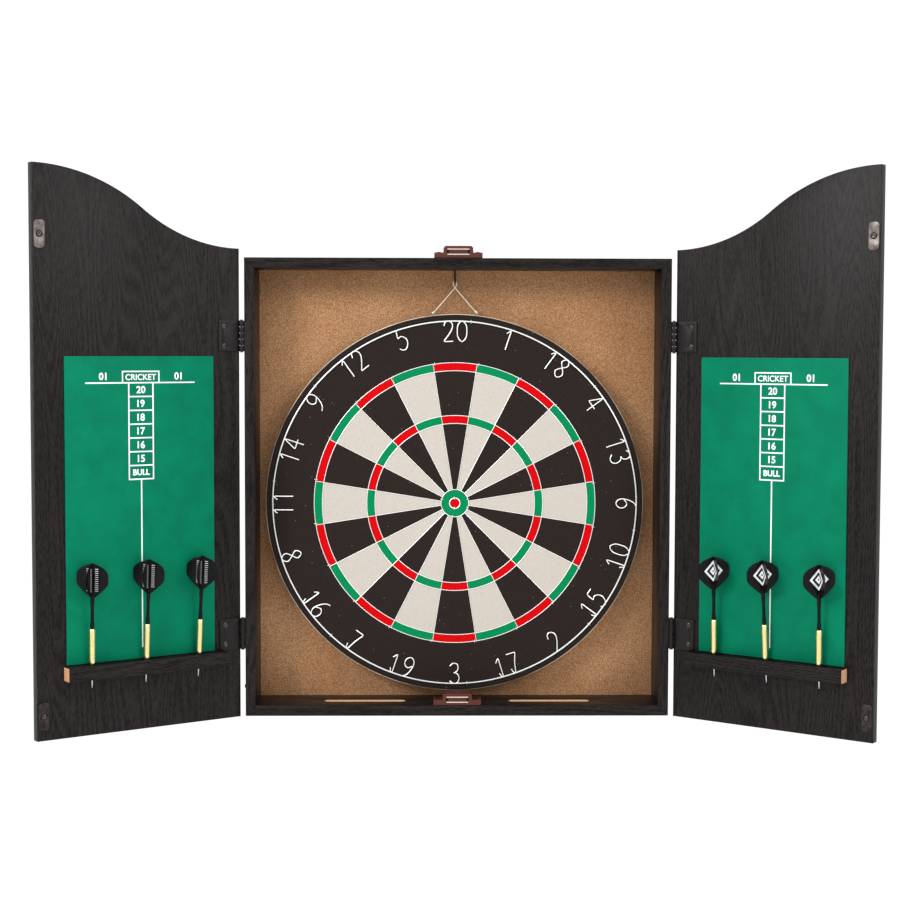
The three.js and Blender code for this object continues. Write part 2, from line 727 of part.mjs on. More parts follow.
// The wire that the board hangs by: an eye on two legs that spread to the board's rim.
function addHanger(group) {
  const [y0, y1] = [hangerPlane, hangerPlane + hangerWire];
  const outer = new THREE.Shape();
  const [halfX, halfZ] = [eyeWidth / 2 + hangerWire, eyeInnerHeight / 2 + hangerWire];
  outer.absellipse(boardShiftX, eyeCentreZ, halfX, halfZ, 0, 2 * Math.PI);
  const hole = new THREE.Path();
  hole.absellipse(boardShiftX, eyeCentreZ, eyeWidth / 2, eyeInnerHeight / 2, 0, 2 * Math.PI);
  outer.holes.push(hole);
  const pieces = [plate(outer, y0, y1, 16)];
  const footZ = boardShiftZ + Math.sqrt(boardRadius ** 2 - hangerSpread ** 2) + seatGap + hangerWire;
  const top = new THREE.Vector2(boardShiftX, eyeCentreZ - eyeInnerHeight / 2 - hangerWire / 2);
  for (const side of [-1, 1]) {
    const foot = new THREE.Vector2(boardShiftX + side * hangerSpread, footZ);
    const along = foot.clone().sub(top);
    const leg = box(0, along.length(), y0, y1, -hangerWire / 2, hangerWire / 2);
    pieces.push(leg.rotateY(-along.angle()).translate(top.x, 0, top.y));
  }
  addPart(group, "board_hanger_wire", join(pieces), "wire");
}

// ---------------------------------------------------------------- the whole object

addBox(object);
addBackPanel(object);
addHook(object);
addCatch(object, "upper_catch", cabinetHeight / 2);
addCatch(object, "lower_catch", -innerHalfHeight);
addDoor(object, "left", -1, leftDoorOpen, leftDartSideLean);
addDoor(object, "right", 1, rightDoorOpen, rightDartSideLean);
addDartboard(object);
addNumberRing(object);
addHanger(object);

export default object;
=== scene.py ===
import json
import math

import bmesh
import bpy
from mathutils import Matrix, Vector


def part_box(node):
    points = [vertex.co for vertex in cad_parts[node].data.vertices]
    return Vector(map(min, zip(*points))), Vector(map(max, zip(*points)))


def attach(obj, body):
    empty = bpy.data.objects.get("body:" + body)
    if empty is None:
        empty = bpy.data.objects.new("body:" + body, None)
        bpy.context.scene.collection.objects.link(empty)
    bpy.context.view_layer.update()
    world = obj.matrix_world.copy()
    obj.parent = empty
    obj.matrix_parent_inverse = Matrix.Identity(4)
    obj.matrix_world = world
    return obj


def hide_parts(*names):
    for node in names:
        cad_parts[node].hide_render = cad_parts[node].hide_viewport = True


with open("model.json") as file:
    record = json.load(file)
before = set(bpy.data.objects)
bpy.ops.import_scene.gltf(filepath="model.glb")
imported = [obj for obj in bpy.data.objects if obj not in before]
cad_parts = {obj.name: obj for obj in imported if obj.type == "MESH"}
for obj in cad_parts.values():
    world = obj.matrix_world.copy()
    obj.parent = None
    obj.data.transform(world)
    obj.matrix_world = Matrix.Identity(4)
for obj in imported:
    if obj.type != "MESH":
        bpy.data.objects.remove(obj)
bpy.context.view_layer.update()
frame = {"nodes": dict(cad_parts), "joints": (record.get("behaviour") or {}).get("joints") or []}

MM = 0.001

# ------------------------------------------------------------------ the four boards of the box
# The box is four fibreboard planks, 12 mm thick, mitred and glued at the corners. Each is wrapped in
# a printed and embossed black oak foil. The two slots in the bottom plank show the raw board.


def linear(colour):
    """An sRGB hex colour as the linear colour that a socket takes."""
    parts = [int(colour[i : i + 2], 16) / 255 for i in (0, 2, 4)]
    return [p / 12.92 if p <= 0.04045 else ((p + 0.055) / 1.055) ** 2.4 for p in parts] + [1.0]


def add_node(tree, kind, inputs=None, **settings):
    """Adds a node with its settings. Each input is given a value or the socket that feeds it."""
    node = tree.nodes.new(kind)
    for name, value in settings.items():
        setattr(node, name, value)
    for name, value in (inputs or {}).items():
        if isinstance(value, bpy.types.NodeSocket):
            tree.links.new(value, node.inputs[name])
        else:
            node.inputs[name].default_value = value
    return node


def new_material(name, **surface_values):
    """A material's tree and its surface shader. An underscore in a socket's name stands for a space."""
    material = bpy.data.materials.new(name)
    material.use_nodes = True
    surface = material.node_tree.nodes["Principled BSDF"]
    for socket, value in surface_values.items():
        surface.inputs[socket.replace("_", " ")].default_value = value
    return material, material.node_tree, surface


def set_stops(ramp, *stops):
    """Gives a colour ramp its stops as (place, hex colour) pairs."""
    elements = ramp.color_ramp.elements
    while len(elements) < len(stops):
        elements.new(0.5)
    for element, (place, colour) in zip(elements, stops):
        element.position = place
        element.color = linear(colour)
    return ramp.outputs["Color"]


def coat(tree, surface, colour, height, strength, relief):
    """Gives a surface its colour, and a bump of that relief from a height."""
    tree.links.new(colour, surface.inputs["Base Color"])
    bump = add_node(tree, "ShaderNodeBump", {"Height": height, "Strength": strength, "Distance": relief})
    tree.links.new(bump.outputs["Normal"], surface.inputs["Normal"])


def wood_foil(name, turn):
    """PVC foil with a printed oak figure and pressed-in pores. The grain runs along a turned Z axis."""
    material, tree, surface = new_material(name, Roughness=0.36, Specular_IOR_Level=0.11)
    place = add_node(tree, "ShaderNodeTexCoord").outputs["Object"]

    def drawn_out(size, reach, detail):
        """Noise whose grains have that size across the grain and that reach along it."""
        field = add_node(
            tree,
            "ShaderNodeMapping",
            {"Vector": place, "Rotation": turn, "Scale": (size, size, reach)},
            vector_type="TEXTURE",
        )
        noise = add_node(
            tree,
            "ShaderNodeTexNoise",
            {"Vector": field.outputs["Vector"], "Scale": 1.0, "Detail": detail, "Roughness": 0.5},
        )
        return noise.outputs["Fac"]

    # Growth rings: contour lines of a field drawn out along the plank, nearly straight, with a few arches.
    line = drawn_out(75 * MM, 700 * MM, 1.0)
    for operation, value in (("MULTIPLY", 42.0), ("PINGPONG", 0.5)):
        line = add_node(tree, "ShaderNodeMath", {0: line, 1: value}, operation=operation).outputs[0]
    # Pores are dark dashes about 0.7 mm wide and 7 mm long; the fibres between them are finer.
    pores = drawn_out(0.7 * MM, 7 * MM, 1.0)
    fibres = drawn_out(0.35 * MM, 30 * MM, 0.0)
    lean = pores
    for field, weight in ((line, 0.42), (fibres, 0.25)):
        lean = add_node(
            tree, "ShaderNodeMath", {0: field, 1: weight, 2: lean}, operation="MULTIPLY_ADD"
        ).outputs[0]
    tone = set_stops(
        add_node(tree, "ShaderNodeValToRGB", {"Fac": lean}),
        (0.54, "080606"),
        (0.64, "161212"),
        (0.74, "201b1b"),
        (0.88, "292323"),
    )
    # The print is a little lighter in broad patches a hand wide.
    patches = add_node(
        tree, "ShaderNodeTexNoise", {"Vector": place, "Scale": 1 / (160 * MM), "Detail": 0.0}
    ).outputs["Fac"]
    shade = set_stops(
        add_node(tree, "ShaderNodeValToRGB", {"Fac": patches}), (0.3, "e6e6e6"), (0.7, "ffffff")
    )
    mixed = add_node(
        tree, "ShaderNodeMix", {0: 1.0, 6: tone, 7: shade}, data_type="RGBA", blend_type="MULTIPLY"
    )
    coat(tree, surface, mixed.outputs[2], lean, 0.6, 0.12 * MM)
    return material


def mottled(name, dark, pale, grain, relief, **surface_values):
    """A finish whose colour runs between two hex values in grains of one size, with that much relief."""
    material, tree, surface = new_material(name, **surface_values)
    place = add_node(tree, "ShaderNodeTexCoord").outputs["Object"]
    grains = add_node(
        tree, "ShaderNodeTexNoise", {"Vector": place, "Scale": 1 / grain, "Detail": 3.0, "Roughness": 0.6}
    ).outputs["Fac"]
    tone = set_stops(add_node(tree, "ShaderNodeValToRGB", {"Fac": grains}), (0.32, dark), (0.68, pale))
    coat(tree, surface, tone, grains, 0.5, relief)
    return material


def mesh_piece(name, bm, *materials):
    """The finished mesh as an object at the origin, smooth where it curves and sharp at its arrises."""
    mesh = bpy.data.meshes.new(name)
    bm.normal_update()
    bm.to_mesh(mesh)
    bm.free()
    mesh.shade_smooth()
    mesh.set_sharp_from_angle(angle=math.radians(35))
    for material in materials:
        mesh.materials.append(material)
    piece = bpy.data.objects.new(name, mesh)
    bpy.context.scene.collection.objects.link(piece)
    return piece


def fasten(piece, body, slot, *nodes):
    """The piece rides on a body and stands for those CAD nodes, which it hides. The slot is not used."""
    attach(piece, body)
    if nodes:
        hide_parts(*nodes)


def eased_copy(node, radius):
    """A CAD solid's mesh, merged, with its arrises rounded to a radius."""
    bm = bmesh.new()
    bm.from_mesh(frame["nodes"][node].data)
    bmesh.ops.remove_doubles(bm, verts=bm.verts, dist=0.002 * MM)
    bmesh.ops.dissolve_limit(bm, angle_limit=math.radians(1), verts=bm.verts, edges=bm.edges)
    arrises = [e for e in bm.edges if len(e.link_faces) == 2 and e.calc_face_angle() > math.radians(40)]
    bmesh.ops.bevel(
        bm, geom=arrises, offset=radius, segments=2, profile=0.5, affect="EDGES", clamp_overlap=True
    )
    bmesh.ops.recalc_face_normals(bm, faces=bm.faces)
    return bm


upright_foil = wood_foil("black_oak_foil_grain_up", (0, 0, 0))
level_foil = wood_foil("black_oak_foil_grain_across", (0, math.pi / 2, 0))
# Raw fibreboard where a router has cut through the foil: pale, matt and a little furry.
raw_fibreboard = mottled(
    "routed_raw_fibreboard", "a9825c", "d3ac82", 0.8 * MM, 0.1 * MM, Roughness=0.9, IOR=1.45
)

BOARD_ARRIS = 0.5 * MM
for node, foil in (
    ("cabinet_left_side", upright_foil),
    ("cabinet_right_side", upright_foil),
    ("cabinet_top", level_foil),
    ("cabinet_bottom", level_foil),
):
    board = mesh_piece(node + "_board", eased_copy(node, BOARD_ARRIS), foil, raw_fibreboard)
    if node == "cabinet_bottom":
        low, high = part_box(node)
        for face in board.data.polygons:
            inside = abs(face.normal.z) < 0.5 and abs(face.center.x) < high.x - 60 * MM
            if inside and low.y + 10 * MM < face.center.y < high.y - 10 * MM:
                face.material_index = 1
    fasten(board, "cabinet", "wood_foil", node)

# ------------------------------------------------------------------ back panel
# A 3 mm sheet of raw brown hardboard, slid into a rebate behind the four boards. It is pressed smooth,
# with long fibres in it. Four holes take the wall screws.


def shrunk(outline, inset):
    """A closed counterclockwise outline moved inwards."""
    moved = []
    for i, (x, y) in enumerate(outline):
        (px, py), (nx, ny) = outline[i - 1], outline[(i + 1) % len(outline)]
        before = Vector((py - y, x - px)).normalized()
        after = Vector((y - ny, nx - x)).normalized()
        mitre = (before + after) * (inset / max(0.3, 1 + before.dot(after)))
        moved.append((x + mitre.x, y + mitre.y))
    return moved


def circle(radius, x=0.0, y=0.0, sides=24):
    """The closed outline of a circle."""
    turns = [2 * math.pi * i / sides for i in range(sides)]
    return [(x + radius * math.cos(a), y + radius * math.sin(a)) for a in turns]


def plate_mesh(outlines, thickness, arris, place, steps=2):
    """A plate cut to closed outlines in X and Y: the first is its edge and the others are holes."""
    bm = bmesh.new()
    ends = ([], [])
    turns = [math.pi / 2 * k / steps for k in range(steps + 1)]
    rise = [(arris * (1 - math.sin(t)), arris * (1 - math.cos(t))) for t in turns]
    layers = rise + [(inset, thickness - height) for inset, height in reversed(rise)]
    for number, outline in enumerate(outlines):
        area = sum(a[0] * b[1] - b[0] * a[1] for a, b in zip(outline, outline[1:] + outline[:1]))
        if (area > 0) == (number > 0):
            outline = outline[::-1]
        loops = []
        for inset, height in layers:
            loops.append([bm.verts.new((x, y, height)) for x, y in shrunk(outline, inset)])
        for lower, upper in zip(loops, loops[1:]):
            for i in range(len(lower)):
                bm.faces.new((lower[i - 1], lower[i], upper[i], upper[i - 1]))
        for end, loop in zip(ends, (loops[0], loops[-1])):
            end += [bm.edges.get((loop[i - 1], loop[i])) for i in range(len(loop))]
    for end in ends:
        bmesh.ops.triangle_fill(bm, use_beauty=True, edges=end)
    bmesh.ops.recalc_face_normals(bm, faces=bm.faces)
    bm.transform(place)
    return bm


# Hardboard: steam-pressed wood fibre, warm brown, with paler fibre ends and slow cloudy patches.
hardboard, tree, surface = new_material(
    "pressed_hardboard", Roughness=0.82, IOR=1.45, Specular_IOR_Level=0.25
)
place = add_node(tree, "ShaderNodeTexCoord").outputs["Object"]
clouds, fibres = (
    add_node(tree, "ShaderNodeTexNoise", {"Vector": place, "Scale": 1 / size, "Detail": 3.0}).outputs["Fac"]
    for size in (120 * MM, 1.1 * MM)
)
fibre_tone = set_stops(
    add_node(tree, "ShaderNodeValToRGB", {"Fac": fibres}), (0.36, "8f6240"), (0.5, "b1845e"), (0.64, "cfa57c")
)
cloud_tone = set_stops(
    add_node(tree, "ShaderNodeValToRGB", {"Fac": clouds}), (0.32, "e2d9d0"), (0.7, "ffffff")
)
mixed = add_node(
    tree, "ShaderNodeMix", {0: 1.0, 6: fibre_tone, 7: cloud_tone}, data_type="RGBA", blend_type="MULTIPLY"
)
coat(tree, surface, mixed.outputs[2], fibres, 0.3, 0.1 * MM)

WALL_HOLE = 2.5 * MM
low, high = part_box("back_panel")
edge = [(low.x, low.z), (high.x, low.z), (high.x, high.z), (low.x, high.z)]
holes = [circle(WALL_HOLE, 80 * MM * a, 60 * MM * b) for a in (-1, 1) for b in (-1, 1)]
facing_front = Matrix.Translation((0, high.y, 0)) @ Matrix.Rotation(math.pi / 2, 4, "X")
back = mesh_piece(
    "back_panel_sheet", plate_mesh([edge, *holes], high.y - low.y, 0.2 * MM, facing_front), hardboard
)
fasten(back, "cabinet", "hardboard", "back_panel")

# ------------------------------------------------------------------ hook for the board
# A square screw hook, bent from steel wire and lacquered black. Its thread is in the top board, and its
# leg points forwards with a short tip turned up. The board's hanger wire hangs on the leg.


def start_tree(name, **inputs):
    """A geometry tree with named inputs of those kinds, and the sockets that they feed."""
    tree = bpy.data.node_groups.new(name, "GeometryNodeTree")
    for socket, kind in inputs.items():
        tree.interface.new_socket(socket, in_out="INPUT", socket_type="NodeSocket" + kind)
    tree.interface.new_socket("Made", in_out="OUTPUT", socket_type="NodeSocketGeometry")
    return tree, add_node(tree, "NodeGroupInput").outputs


def end_tree(tree, geometry, finish):
    """Ends a tree: what it placed is made real and gets its material."""
    real = add_node(tree, "GeometryNodeRealizeInstances", {"Geometry": geometry})
    coated = add_node(tree, "GeometryNodeSetMaterial", {"Geometry": real.outputs[0], "Material": finish})
    add_node(tree, "NodeGroupOutput", {"Made": coated.outputs[0]})


def made_on(name, points, edges, tree, turns=(), **values):
    """What a geometry tree makes of a host with those points and edges, as a bmesh."""
    mesh = bpy.data.meshes.new(name)
    mesh.from_pydata([tuple(p) for p in points], edges, [])
    if turns:
        turn = mesh.attributes.new("turn", "FLOAT_VECTOR", "POINT")
        for item, angles in zip(turn.data, turns):
            item.vector = angles
    host = bpy.data.objects.new(name, mesh)
    bpy.context.scene.collection.objects.link(host)
    modifier = host.modifiers.new(tree.name, "NODES")
    modifier.node_group = tree
    for item in tree.interface.items_tree:
        if item.in_out == "INPUT" and item.name in values:
            modifier[item.identifier] = values[item.name]
    bpy.context.view_layer.update()
    graph = bpy.context.evaluated_depsgraph_get()
    made = bpy.data.meshes.new_from_object(host.evaluated_get(graph))
    host.modifiers.remove(modifier)
    bpy.data.objects.remove(host)
    bm = bmesh.new()
    bm.from_mesh(made)
    return bm


# Wire bent along its path: the host's edges become curves, and a round section is swept along them.
wire_tree, given = start_tree(
    "wire_along_its_path", Path="Geometry", Radius="Float", Sides="Int", Finish="Material"
)
line = add_node(wire_tree, "GeometryNodeMeshToCurve", {"Mesh": given["Path"]})
section = add_node(
    wire_tree,
    "GeometryNodeCurvePrimitiveCircle",
    {"Resolution": given["Sides"], "Radius": given["Radius"]},
)
swept = add_node(
    wire_tree,
    "GeometryNodeCurveToMesh",
    {"Curve": line.outputs[0], "Profile Curve": section.outputs[0], "Fill Caps": True},
)
end_tree(wire_tree, swept.outputs[0], given["Finish"])


def wire_mesh(paths, radius, finish, sides=8):
    """Wires bent along (points, closed) paths, as a bmesh whose faces point out."""
    points, edges = [], []
    for path, closed in paths:
        start = len(points)
        points += path
        edges += [(i, i + 1) for i in range(start, len(points) - 1)]
        if closed:
            edges.append((len(points) - 1, start))
    bm = made_on("paths", points, edges, wire_tree, Radius=radius, Sides=sides, Finish=finish)
    bmesh.ops.remove_doubles(bm, verts=bm.verts, dist=0.001 * MM)
    bmesh.ops.recalc_face_normals(bm, faces=bm.faces)
    return bm


def rounded_path(corners, radius, steps=5):
    """A path through corners, each turned with a bend of that radius."""
    corners = [Vector(c) for c in corners]
    path = [corners[0]]
    for before, corner, after in zip(corners, corners[1:], corners[2:]):
        start = corner + (before - corner).normalized() * radius
        end = corner + (after - corner).normalized() * radius
        for k in range(steps + 1):
            t = k / steps
            path.append(start * (1 - t) ** 2 + corner * 2 * t * (1 - t) + end * t**2)
    return path + [corners[-1]]


# Black lacquered steel: a thick glossy coat with a slight orange peel.
black_lacquer = mottled(
    "black_lacquered_steel", "110e0e", "1c1918", 2.5 * MM, 0.03 * MM, Roughness=0.4, Specular_IOR_Level=0.2
)

HOOK_WIRE = 1.1 * MM  # radius, as of all wires here
HOOK_BEND = 1.6 * MM
HANGER_STRAND = 0.7 * MM
EYE_REST = 0.1 * MM  # between the leg and the eye that hangs on it
TIP_ABOVE_EYE = 0.6 * MM
low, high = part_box("board_hook")
hook_x = (low.x + high.x) / 2
shank_y, tip_y = high.y - HOOK_WIRE, low.y + HOOK_WIRE
eye_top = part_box("board_hanger_wire")[1].z
leg_z = eye_top - 2 * HANGER_STRAND - EYE_REST - HOOK_WIRE
tip_z = eye_top + TIP_ABOVE_EYE
corners = [(shank_y, high.z), (shank_y, leg_z), (tip_y, leg_z), (tip_y, tip_z)]
path = rounded_path([(hook_x, y, z) for y, z in corners], HOOK_BEND)
hook = mesh_piece("board_hook_wire", wire_mesh([(path, False)], HOOK_WIRE, black_lacquer, 14), black_lacquer)
fasten(hook, "cabinet", "black_steel", "board_hook")

# ------------------------------------------------------------------ magnetic catches
# Each catch is a brown ABS housing with two screwed ears. A flat ferrite magnet sits in its mouth
# between two steel pole plates, whose edges stand just out to meet the strike plates.

# Moulded ABS, spark-eroded to a fine matt grain; the brown is dyed right through.
brown_abs = mottled(
    "moulded_brown_abs", "46221b", "57291f", 0.7 * MM, 0.04 * MM, Roughness=0.45, Specular_IOR_Level=0.22
)
# Sheared steel plate, zinc plated: dull silver with a warm tinge.
pole_steel = mottled(
    "sheared_pole_steel", "c9aea2", "f3ddd2", 0.5 * MM, 0.02 * MM, Metallic=1.0, Roughness=0.38
)
# Sintered ferrite: dark, dry and slightly gritty, with a brown bloom.
ferrite = mottled(
    "sintered_ferrite", "331d18", "4d2c25", 0.3 * MM, 0.05 * MM, Roughness=0.7, Specular_IOR_Level=0.3
)
# Zinc-plated steel: blue-grey, cloudy from the plating bath.
zinc_plate = mottled(
    "zinc_plated_steel", "4c4543", "7f7673", 6.0 * MM, 0.02 * MM, Metallic=1.0, Roughness=0.42
)


def box_mesh(low, high, arris):
    """A block between two corners with rounded arrises."""
    edge = [(low[0], low[1]), (high[0], low[1]), (high[0], high[1]), (low[0], high[1])]
    return plate_mesh([edge], high[2] - low[2], arris, Matrix.Translation((0, 0, low[2])))


def joined(first, *others):
    """Several closed meshes as one."""
    for other in others:
        spare = bpy.data.meshes.new("spare")
        other.to_mesh(spare)
        other.free()
        first.from_mesh(spare)
        bpy.data.meshes.remove(spare)
    return first


def turned_mesh(profile, sides, place):
    """A profile of (radius, height) pairs turned about Z. It starts and ends on the axis."""
    bm = bmesh.new()
    loops = []
    for radius, height in profile:
        if radius == 0:
            loops.append([bm.verts.new((0, 0, height))])
        else:
            loops.append([bm.verts.new((x, y, height)) for x, y in circle(radius, sides=sides)])
    for lower, upper in zip(loops, loops[1:]):
        for i in range(sides):
            under = [lower[0]] if len(lower) == 1 else [lower[i - 1], lower[i]]
            over = [upper[0]] if len(upper) == 1 else [upper[i], upper[i - 1]]
            bm.faces.new(under + over)
    bmesh.ops.recalc_face_normals(bm, faces=bm.faces)
    bm.transform(place)
    return bm


def screw_head(radius, height, shank):
    """A crosshead screw: a low domed head on Z with its four-armed recess, and a shank below."""
    sides = 16
    profile = [(0, -shank), (radius * 0.38, -shank), (radius * 0.42, 0), (radius, 0)]
    profile += [(radius, height * 0.3), (radius * 0.88, height * 0.72), (radius * 0.66, height * 0.94)]
    profile += [(radius * 0.56, height), (radius * 0.17, height * 0.98), (0, height * 0.98)]
    bm = turned_mesh(profile, sides, Matrix.Identity(4))
    for vert in bm.verts:
        reach = vert.co.xy.length
        if vert.co.z > height * 0.9 and reach < radius * 0.6:
            arm = round(math.degrees(math.atan2(vert.co.y, vert.co.x))) % 90 == 0
            if reach < radius * 0.2:
                vert.co.z = height * 0.1
            elif arm:
                vert.co.z = height * 0.35
    return bm


# Like pieces set on points: a pattern is placed on each of the host's points and turned its way.
points_tree, given = start_tree(
    "pattern_on_points", Points="Geometry", Pattern="Object", Finish="Material"
)
pattern_shape = add_node(points_tree, "GeometryNodeObjectInfo", {"Object": given["Pattern"]})
turn = add_node(points_tree, "GeometryNodeInputNamedAttribute", {"Name": "turn"}, data_type="FLOAT_VECTOR")
placed = add_node(
    points_tree,
    "GeometryNodeInstanceOnPoints",
    {
        "Points": given["Points"],
        "Instance": pattern_shape.outputs["Geometry"],
        "Rotation": turn.outputs["Attribute"],
    },
)
end_tree(points_tree, placed.outputs[0], given["Finish"])


def set_on_points(pattern_mesh, places, finish):
    """A pattern repeated at each place, a 4x4 matrix, as one bmesh."""
    pattern = mesh_piece("pattern", pattern_mesh)
    points, turns = [p.to_translation() for p in places], [p.to_euler() for p in places]
    bm = made_on("points", points, [], points_tree, turns, Pattern=pattern, Finish=finish)
    bpy.data.objects.remove(pattern)
    return bm


CATCH_EAR_REACH = 23 * MM  # catch's middle to its screws
CATCH_EAR_HEIGHT = 6.5 * MM
CATCH_SCREW = (2.8 * MM, 0.9 * MM, 6.2 * MM)  # head's radius and height, and the shank's length
POLE_PLATE = 1.4 * MM
MAGNET_INSET = 1.5 * MM  # the magnet lies behind the pole plates' edges
for level in ("upper", "lower"):
    housing_low, housing_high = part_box(level + "_catch_housing")
    housing = mesh_piece(
        level + "_catch_moulding", eased_copy(level + "_catch_housing", 0.35 * MM), brown_abs
    )
    fasten(housing, "cabinet", "brown_plastic", level + "_catch_housing")

    low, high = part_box(level + "_catch_magnet")
    plates = [
        box_mesh((low.x, low.y, foot), (high.x, high.y, foot + POLE_PLATE), 0.15 * MM)
        for foot in (low.z, high.z - POLE_PLATE)
    ]
    poles = mesh_piece(level + "_catch_pole_plates", joined(*plates), pole_steel)
    fasten(poles, "cabinet", "magnet_poles", level + "_catch_magnet")
    magnet = box_mesh(
        (low.x + MAGNET_INSET, low.y + MAGNET_INSET, low.z + POLE_PLATE),
        (high.x - MAGNET_INSET, high.y - MAGNET_INSET, high.z - POLE_PLATE),
        0.2 * MM,
    )
    fasten(mesh_piece(level + "_catch_ferrite", magnet, ferrite), "cabinet", "magnet_poles")

    middle_y = (housing_low.y + housing_high.y) / 2
    places = [
        Matrix.Translation((side * CATCH_EAR_REACH, middle_y, housing_low.z + CATCH_EAR_HEIGHT))
        @ Matrix.Rotation(0.5 * side, 4, "Z")
        for side in (-1, 1)
    ]
    screws = set_on_points(screw_head(*CATCH_SCREW), places, black_lacquer)
    screws = mesh_piece(level + "_catch_screws", screws, black_lacquer)
    fasten(screws, "cabinet", "zinc_steel")

# ------------------------------------------------------------------ butt hinges
# Four steel butt hinges, lacquered black: one leaf on the door's inner face and one on the box's
# side, with five rolled knuckles round a loose pin. Two crosshead screws hold each leaf.


def rounded_rectangle(x0, x1, y0, y1, radius, steps=5):
    """A closed outline of a rectangle with round corners."""
    outline = []
    for cx, cy, start in (
        (x1 - radius, y0 + radius, -90),
        (x1 - radius, y1 - radius, 0),
        (x0 + radius, y1 - radius, 90),
        (x0 + radius, y0 + radius, 180),
    ):
        for k in range(steps + 1):
            a = math.radians(start + 90 * k / steps)
            outline.append((cx + radius * math.cos(a), cy + radius * math.sin(a)))
    return outline


joints = {joint["name"]: joint for joint in frame["joints"]}
SIDES = {"left": -1, "right": 1}
door_place = {}  # where the closed door's frame, with the pin on its Z axis, stands when open
for side in SIDES:
    joint = joints[side + "_door_hinge"]
    swing = -joint["range_deg"][0] * joint["axis"][2]
    door_place[side] = Matrix.Translation(joint["pos_m"]) @ Matrix.Rotation(math.radians(swing), 4, "Z")

KNUCKLE = 3.0 * MM
LEAF = 1.2 * MM
PIN = 1.2 * MM
PIN_HEAD = 0.8 * MM
RUN = 0.3 * MM  # between two knuckles
KNUCKLES = 5
LEAF_CORNER = 1.6 * MM
HINGE_SCREW_REACH = 21.5 * MM
HINGE_SCREW_SPACING = 23 * MM
HINGE_SCREW_HOLE = 1.9 * MM
HINGE_SCREW = (3.1 * MM, 0.8 * MM, 9 * MM)


def knuckle_mesh(low, high):
    """One rolled knuckle round the Z axis: a tube with eased ends."""
    rounds = [circle(radius, sides=28) for radius in (KNUCKLE, PIN + 0.1 * MM)]
    return plate_mesh(rounds, high - low, 0.25 * MM, Matrix.Translation((0, 0, low)))


def leaf_mesh(length, reach, first):
    """A leaf in X and Z with its face at y = -KNUCKLE, its knuckles, and its two screw holes."""
    half = length / 2
    edge = rounded_rectangle(KNUCKLE + RUN, reach, -half, half, LEAF_CORNER)
    holes = [circle(HINGE_SCREW_HOLE, HINGE_SCREW_REACH, s * HINGE_SCREW_SPACING / 2) for s in (-1, 1)]
    upright = Matrix.Translation((0, LEAF - KNUCKLE, 0)) @ Matrix.Rotation(math.pi / 2, 4, "X")
    leaf = plate_mesh([edge, *holes], LEAF, 0.2 * MM, upright)
    knuckle_length = (length - (KNUCKLES - 1) * RUN) / KNUCKLES
    for i in range(first, KNUCKLES, 2):
        low = -half + i * (knuckle_length + RUN)
        tab = box_mesh(
            (0.2 * MM, -KNUCKLE, low + 0.02 * MM),
            (KNUCKLE + RUN + 2 * MM, LEAF - KNUCKLE, low + knuckle_length - 0.02 * MM),
            0.05 * MM,
        )
        joined(leaf, knuckle_mesh(low, low + knuckle_length), tab)
    return leaf


# Blackened screws: the oxide is worn to bare steel on the head's edges.
blackened_steel = mottled(
    "oxide_blackened_steel", "262423", "646160", 0.9 * MM, 0.03 * MM, Metallic=1.0, Roughness=0.34
)
for side, sign in SIDES.items():
    pin_at = joints[side + "_door_hinge"]["pos_m"]
    half_turn = Matrix.Rotation(math.pi, 4, "Y") if sign > 0 else Matrix.Identity(4)
    onto_box = Matrix.Rotation(math.pi / 2, 4, "Z")
    if sign > 0:
        onto_box = Matrix.Rotation(math.pi, 4, "Z") @ Matrix.Rotation(math.pi, 4, "X") @ onto_box
    for level in ("upper", "lower"):
        name = f"{side}_{level}_hinge"
        low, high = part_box(name + "_door_leaf")
        length = high.z - low.z
        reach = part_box(name + "_box_leaf")[1].y - pin_at[1]
        up = Matrix.Translation((0, 0, (low.z + high.z) / 2))
        door_at = door_place[side] @ up @ half_turn
        box_at = Matrix.Translation(pin_at) @ up @ onto_box
        for part, at, first, body in (
            ("door_leaf", door_at, 1, side + "_door"),
            ("box_leaf", box_at, 0, "cabinet"),
        ):
            leaf = leaf_mesh(length, reach, first)
            leaf.transform(at)
            leaf = mesh_piece(f"{name}_{part}_plate", leaf, black_lacquer)
            fasten(leaf, body, "black_steel", f"{name}_{part}")
            out = Matrix.Rotation(-math.pi / 2, 4, "X")
            places = []
            for s in (-1, 1):
                seat = Vector((HINGE_SCREW_REACH, LEAF - KNUCKLE - 0.1 * MM, s * HINGE_SCREW_SPACING / 2))
                places.append(at @ Matrix.Translation(seat) @ out @ Matrix.Rotation(0.4 + s, 4, "Z"))
            screws = set_on_points(screw_head(*HINGE_SCREW), places, blackened_steel)
            fasten(mesh_piece(f"{name}_{part}_screws", screws, blackened_steel), body, "black_steel")
        low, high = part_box(name + "_pin")
        height = high.z - low.z
        profile = [(0, 0), (1.5 * MM, 0), (2.1 * MM, 0.3 * MM), (2.1 * MM, PIN_HEAD), (PIN, PIN_HEAD)]
        profile += [(radius, height - z) for radius, z in reversed(profile)]
        at = Matrix.Translation((pin_at[0], pin_at[1], low.z))
        pin = mesh_piece(name + "_pin_rivet", turned_mesh(profile, 20, at), black_lacquer)
        fasten(pin, "cabinet", "zinc_steel", name + "_pin")

# ------------------------------------------------------------------ doors
# Each door is one 12 mm fibreboard panel. Its top is cut to an S curve that meets the other door's in
# an arch, and its faces and edges are wrapped in the same oak foil, with the grain running up.


def cad_box(node, place):
    """The lowest and highest corner of a CAD node in another frame."""
    inward = place.inverted()
    points = [inward @ v.co for v in frame["nodes"][node].data.vertices]
    return (Vector([f(p[i] for p in points) for i in range(3)]) for f in (min, max))


